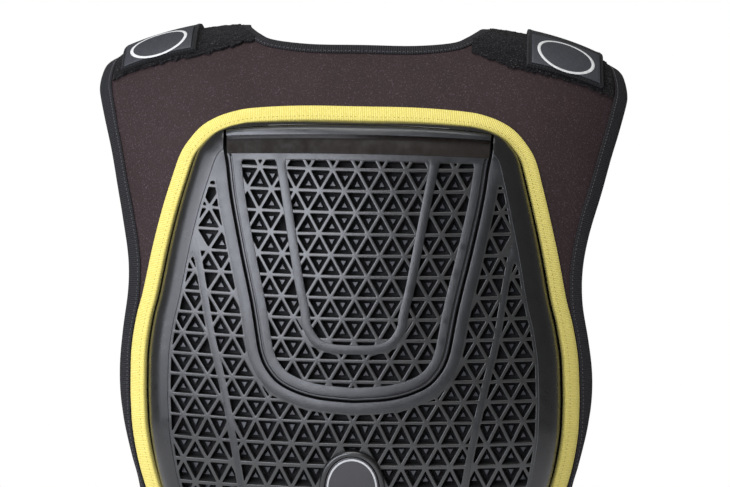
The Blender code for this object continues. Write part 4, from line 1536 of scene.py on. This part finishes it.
def build_tab(side, label):
    """The rubber patch on a strap's tab, with its plain printed ring."""
    end = STRAP_TAB_END + TAB_SHIFTS[side] - PATCH_TIP
    seat = STRAP_SEAT + STRAP_CLOTH + GAP

    def place(x, y, z):
        return on_torso(side * (STRAP_OUT + x), end - y, seat + z)

    patch = woven_strip(place, STRAP_WIDTH - 2 * PATCH_HEM, PATCH_LENGTH, PATCH_CLOTH, 24, 18)
    ring = printed_ring(TAB_RING - TAB_RING_WIDTH, TAB_RING, low=-0.1, high=0.28, bevel=0.4,
                        bevel_drop=0.13)
    for vert in ring.verts:
        y = (vert.co.y + BADGE_DOWN) * TAB_RING_SQUASH + TAB_RING_PLACE
        vert.co = place(vert.co.x, y, PATCH_CLOTH + vert.co.z)
    return add_piece("tab_face_" + label, joined([(0, patch), (1, ring)]),
                     [PATCH_RUBBER, RING_INK], ["tab_patch_" + label])


def around_waist(angle, drop, lift):
    """Point round the torso: angle 0 at the middle of the back, pi at the front."""
    back, half_width = torso_size(drop)
    side, fore = math.sin(angle), -math.cos(angle)
    depth = back if fore < 0 else CHEST_DEPTH
    power = 2 / TORSO_SQUARENESS
    point = Vector((math.copysign(abs(side) ** power, side) * half_width,
                    math.copysign(abs(fore) ** power, fore) * depth, -drop))
    square = TORSO_SQUARENESS - 1
    out = Vector((math.copysign(abs(point.x / half_width) ** square, side) / half_width,
                  math.copysign(abs(point.y / depth) ** square, fore) / depth, 0))
    return point + out.normalized() * lift


def front_angle(reach):
    """Turn round the torso that reaches this far across, at either end of the middle."""
    return math.asin((reach / TORSO_HALF_WIDTH) ** (TORSO_SQUARENESS / 2))


def build_belt():
    """Waist belt behind the panel, lapped at the front under a closing tab."""
    lap = front_angle(BELT_OVERLAP / 2)
    slope = front_angle(BELT_OVERLAP / 2 + LAP_SLOPE) - lap
    turn = 2 * (math.pi + lap)
    girth = belt_girth(turn)

    def belt_place(x, y, z):
        angle = turn * (y / girth - 0.5)
        share = held((angle - math.pi + lap + slope) / slope)
        lift = BELT_SEAT - BELT_CLOTH + (BELT_CLOTH + SOFT_GAP) * share * share * (3 - 2 * share)
        return around_waist(angle, BELT_TOP_DROP + BELT_WIDTH / 2 + x, lift + z)

    belt = woven_strip(belt_place, BELT_WIDTH, girth, BELT_CLOTH, 44, 260)
    belt = add_piece("waist_band", belt, [WEBBING], ["waist_belt"], angle=60)
    closure = build_closure()


def build_closure():
    """The closing tab that lies over the lap of the belt."""
    reach = front_angle(CLOSURE_LENGTH / 2)
    seat = BELT_SEAT + BELT_CLOTH + 2 * SOFT_GAP

    def place(x, y, z):
        angle = math.pi + reach * (2 * y / CLOSURE_LENGTH - 1)
        rise = fuzz((x, y, 9), *CLOSURE_FUZZ) if z > CLOSURE_CLOTH / 2 else 0.0
        return around_waist(angle, BELT_TOP_DROP + BELT_WIDTH / 2 + x, seat + z + rise)

    closure = woven_strip(place, BELT_WIDTH - 2 * CLOSURE_MARGIN, CLOSURE_LENGTH,
                          CLOSURE_CLOTH, 48, 32)
    return add_piece("belt_tab", closure, [PILE], ["belt_closure"], angle=60)


def belt_girth(turn, steps=400):
    """Length of the belt round the torso, in millimetres."""
    middle = BELT_TOP_DROP + BELT_WIDTH / 2
    points = [around_waist(turn * (step / steps - 0.5), middle, BELT_SEAT)
              for step in range(steps + 1)]
    return sum((after - before).length for before, after in zip(points, points[1:]))


# Stage, light and camera

FLOOR_DROP = 0.60
FLOOR_RADIUS = 1.2
CAMERA_AIM = (0.007, -0.15, -0.1465)
CAMERA_ELEVATION = 8.0
CAMERA_AZIMUTH = 2.0
CAMERA_ROLL = 0.85
CAMERA_DISTANCE = 5.0
VIEW_WIDTH = 0.5548
SENSOR = 36.0
ROOM_LIGHT = 0.2
BACKDROP = 1.0
LIGHT_AIM = (0, -0.1, -0.2)

# Softboxes: name, place, width and height in metres, watts, colour
SOFTBOXES = (
    ("left_softbox", (-1.33, -2.7, 0.52), (2.7, 1.9), 142, "#f0f3ff"),
    ("side_softbox", (-2.6, -1.2, 0.2), (1.3, 1.8), 30, "#eef2ff"),
    ("top_softbox", (-0.2, -0.9, 2.2), (1.8, 1.2), 50, "#ffffff"),
)


def build_stage():
    """A pale round floor below the harness, which hangs as if on a wearer."""
    bm = bmesh.new()
    bmesh.ops.create_circle(bm, cap_ends=True, segments=96, radius=FLOOR_RADIUS)
    bmesh.ops.translate(bm, verts=bm.verts, vec=(0, 0, -FLOOR_DROP))
    mesh = bpy.data.meshes.new("paper_floor")
    bm.to_mesh(mesh)
    bm.free()
    mesh.materials.append(painted_floor())
    floor = bpy.data.objects.new("paper_floor", mesh)
    bpy.context.scene.collection.objects.link(floor)


def add_light(name, place, size, power, colour):
    """A rectangular softbox that faces the harness."""
    lamp = bpy.data.lights.new(name, "AREA")
    lamp.shape = "RECTANGLE"
    lamp.size, lamp.size_y = size
    lamp.energy = power
    lamp.color = linear(colour)[:3]
    holder = bpy.data.objects.new(name, lamp)
    holder.location = place
    holder.rotation_euler = (Vector(LIGHT_AIM) - Vector(place)).to_track_quat("-Z", "Y").to_euler()
    bpy.context.scene.collection.objects.link(holder)


def build_light():
    """A white world, dimmer where the camera doesn't see it itself, and three softboxes."""
    world = bpy.data.worlds.new("studio")
    bpy.context.scene.world = world
    world.use_nodes = True
    tree = world.node_tree
    background = tree.nodes["Background"]
    background.inputs["Color"].default_value = linear("#ffffff")
    seen = add_node(tree, "LightPath").outputs["Is Camera Ray"]
    strength = add_node(tree, "MapRange", {"Value": seen, "To Min": ROOM_LIGHT, "To Max": BACKDROP})
    tree.links.new(strength.outputs["Result"], background.inputs["Strength"])
    bpy.context.scene.view_settings.view_transform = "Standard"
    for softbox in SOFTBOXES:
        add_light(*softbox)


def build_camera():
    """The photo's camera, behind the wearer and a little above."""
    lens = bpy.data.cameras.new("photo_camera")
    lens.sensor_width = SENSOR
    lens.lens = SENSOR * CAMERA_DISTANCE / VIEW_WIDTH
    lens.clip_end = 100
    camera = bpy.data.objects.new("photo_camera", lens)
    elevation = math.radians(CAMERA_ELEVATION)
    azimuth = math.radians(CAMERA_AZIMUTH)
    away = Vector((math.sin(azimuth) * math.cos(elevation),
                   -math.cos(azimuth) * math.cos(elevation), math.sin(elevation)))
    camera.location = Vector(CAMERA_AIM) + away * CAMERA_DISTANCE
    facing = (-away).to_track_quat("-Z", "Y").to_matrix()
    camera.rotation_euler = (facing @ Matrix.Rotation(math.radians(CAMERA_ROLL), 3, "Z")).to_euler()
    bpy.context.scene.collection.objects.link(camera)
    bpy.context.scene.camera = camera


def main():
    """Builds the stage and every piece."""
    build_camera()
    build_stage()
    build_light()
    build_cloth()
    studs = []
    build_shell(studs)
    build_insert(studs)
    build_pad(studs)
    build_badge()
    for side, label in ((-1, "left"), (1, "right")):
        build_pile(side, label)
        build_strap(side, label)
    build_belt()


main()
